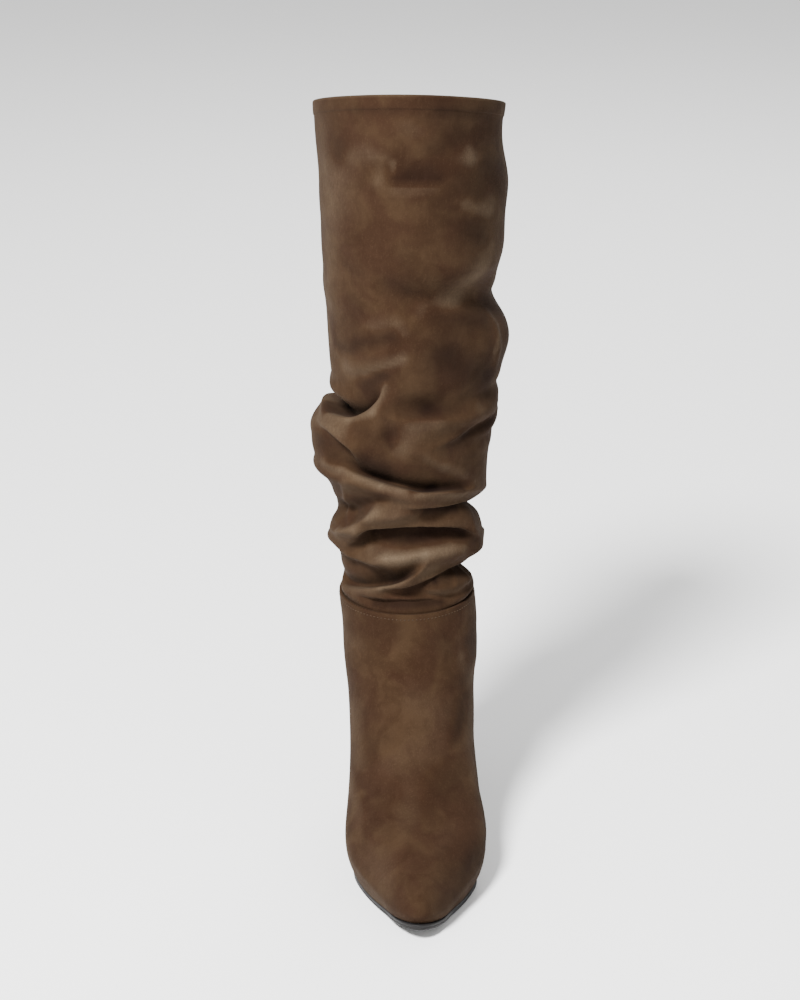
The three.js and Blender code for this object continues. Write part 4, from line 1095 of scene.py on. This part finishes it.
def makeGrained(name, colour, second, roughness, scale, bumpDistance, specular=0.4):
    material, tree, shader = newMaterial(name)
    coords = addNode(tree, "ShaderNodeTexCoord").outputs["Object"]
    grain = addNode(tree, "ShaderNodeTexVoronoi", {"feature": "SMOOTH_F1"},
                    {"Vector": coords, "Scale": scale}).outputs["Distance"]
    cloud = noiseNode(tree, coords, scale * 0.06, 4.0, 0.6)
    tree.links.new(mixColour(tree, rangeNode(tree, cloud, 0.35, 0.65), colour, second), shader.inputs["Base Color"])
    rough = rangeNode(tree, cloud, 0.3, 0.7, roughness * 0.85, min(1, roughness * 1.15))
    tree.links.new(rough, shader.inputs["Roughness"])
    bump = addNode(tree, "ShaderNodeBump", None, {"Strength": 0.5, "Distance": bumpDistance, "Height": grain})
    tree.links.new(bump.outputs[0], shader.inputs["Normal"])
    setShader(shader, {"Specular IOR Level": specular})
    return material


# stage

studio = {
    "camera": (0.0463, -1.3993, 0.774), "aim": (-0.0035, 0.0, 0.226), "lens": 92,
    "floor": (0.93, 0.93, 0.925, 1), "world": (1, 1, 1, 1), "worldStrength": 0.75,
}


def makeStudio():
    camera = bpy.data.cameras.new("photoCamera")
    cameraObject = bpy.data.objects.new("photoCamera", camera)
    bpy.context.scene.collection.objects.link(cameraObject)
    cameraObject.location = studio["camera"]
    direction = Vector(studio["aim"]) - Vector(studio["camera"])
    cameraObject.rotation_euler = direction.to_track_quat("-Z", "Y").to_euler()
    camera.lens = studio["lens"]
    camera.clip_start = 0.05
    bpy.context.scene.camera = cameraObject
    size = 6.0
    points = [(-size, -size, 0), (size, -size, 0), (size, size, 0), (-size, size, 0)]
    mesh = bpy.data.meshes.new("paleFloor")
    mesh.from_pydata(points, [], [(0, 1, 2, 3)])
    floor = bpy.data.objects.new("paleFloor", mesh)
    bpy.context.scene.collection.objects.link(floor)
    material, _, shader = newMaterial("paleFloor")
    setShader(shader, {"Base Color": studio["floor"], "Roughness": 0.9})
    mesh.materials.append(material)
    world = bpy.data.worlds.new("softWorld")
    world.use_nodes = True
    background = world.node_tree.nodes["Background"]
    background.inputs["Color"].default_value = studio["world"]
    background.inputs["Strength"].default_value = studio["worldStrength"]
    bpy.context.scene.world = world
    addSoftLight("keyLight", (-0.75, -1.3, 2.0), 0.6, 215)
    addSoftLight("fillLight", (1.3, -1.1, 0.9), 1.2, 5)
    addSoftLight("rimLight", (0.3, 1.5, 1.6), 1.2, 22)


def addSoftLight(name, location, size, power):
    light = bpy.data.lights.new(name, "AREA")
    light.shape = "DISK"
    light.size = size
    light.energy = power
    lamp = bpy.data.objects.new(name, light)
    bpy.context.scene.collection.objects.link(lamp)
    lamp.location = location
    direction = Vector((0, 0, 0.22)) - Vector(location)
    lamp.rotation_euler = direction.to_track_quat("-Z", "Y").to_euler()


# the boot

makeStudio()
print("studio set")
nap = makeNapGroup()
shaftSuede = makeSuede("shaftSuede", nap, (0.0, 0.0, 0.0), 1.0, 0.12, 0.5)
footSuede = makeSuede("footSuede", nap, (1.3, 0.4, 0.2), 1.1, 0.1, 0.5)
heelSuede = makeSuede("heelSuede", nap, (2.6, 0.9, 0.7), 1.2, 0.1, 0.5)
liningLeather = makeGrained("liningLeather", (0.1, 0.062, 0.036, 1), (0.13, 0.083, 0.05, 1), 0.6, 900, 0.0002)
insoleLeather = makeGrained("insoleLeather", (0.14, 0.08, 0.04, 1), (0.17, 0.1, 0.052, 1), 0.55, 1100, 0.0002)
soleEdge = makeGrained("soleEdge", (0.006, 0.0055, 0.0055, 1), (0.01, 0.009, 0.009, 1), 0.6, 1500, 0.00008, 0.2)
soleTread = makeGrained("soleTread", (0.014, 0.013, 0.013, 1), (0.024, 0.022, 0.021, 1), 0.6, 420, 0.0004)
tipRubber = makeGrained("tipRubber", (0.012, 0.011, 0.011, 1), (0.02, 0.019, 0.018, 1), 0.55, 700, 0.0002)
thread = makeGrained("stitchThread", (0.026, 0.0148, 0.0076, 1), (0.038, 0.023, 0.0125, 1), 0.85, 3000, 0.00006, 0.2)
print("materials made")

upperSkin, upperNormals = makeUpper(footSuede, liningLeather)
print("foot part made")
shaftGrid, shaftTurns = makeShaft(shaftSuede, liningLeather)
print("shaft made")
makeOutsole(soleEdge, soleTread)
makeInsole(insoleLeather)
makeHeel(heelSuede)
makeHeelTip(tipRubber)
print("sole and heel made")


# the row sewn just under the foot part's top edge
def rowUnderEdge(below):
    heights = upperSkin[..., 2]
    line, normal = [], []
    for column in range(heights.shape[1]):
        target = footPart["seamHeight"] - below
        line.append([np.interp(target, heights[-40:, column], upperSkin[-40:, column, axis]) for axis in range(3)])
        normal.append(upperNormals[-3, column])
    return np.array(line), np.array(normal)


seamLine, seamNormals = rowUnderEdge(stitches["belowEdge"])
makeStitches("ankle_seam_stitches", seamLine, seamNormals, thread)
print("stitches made")
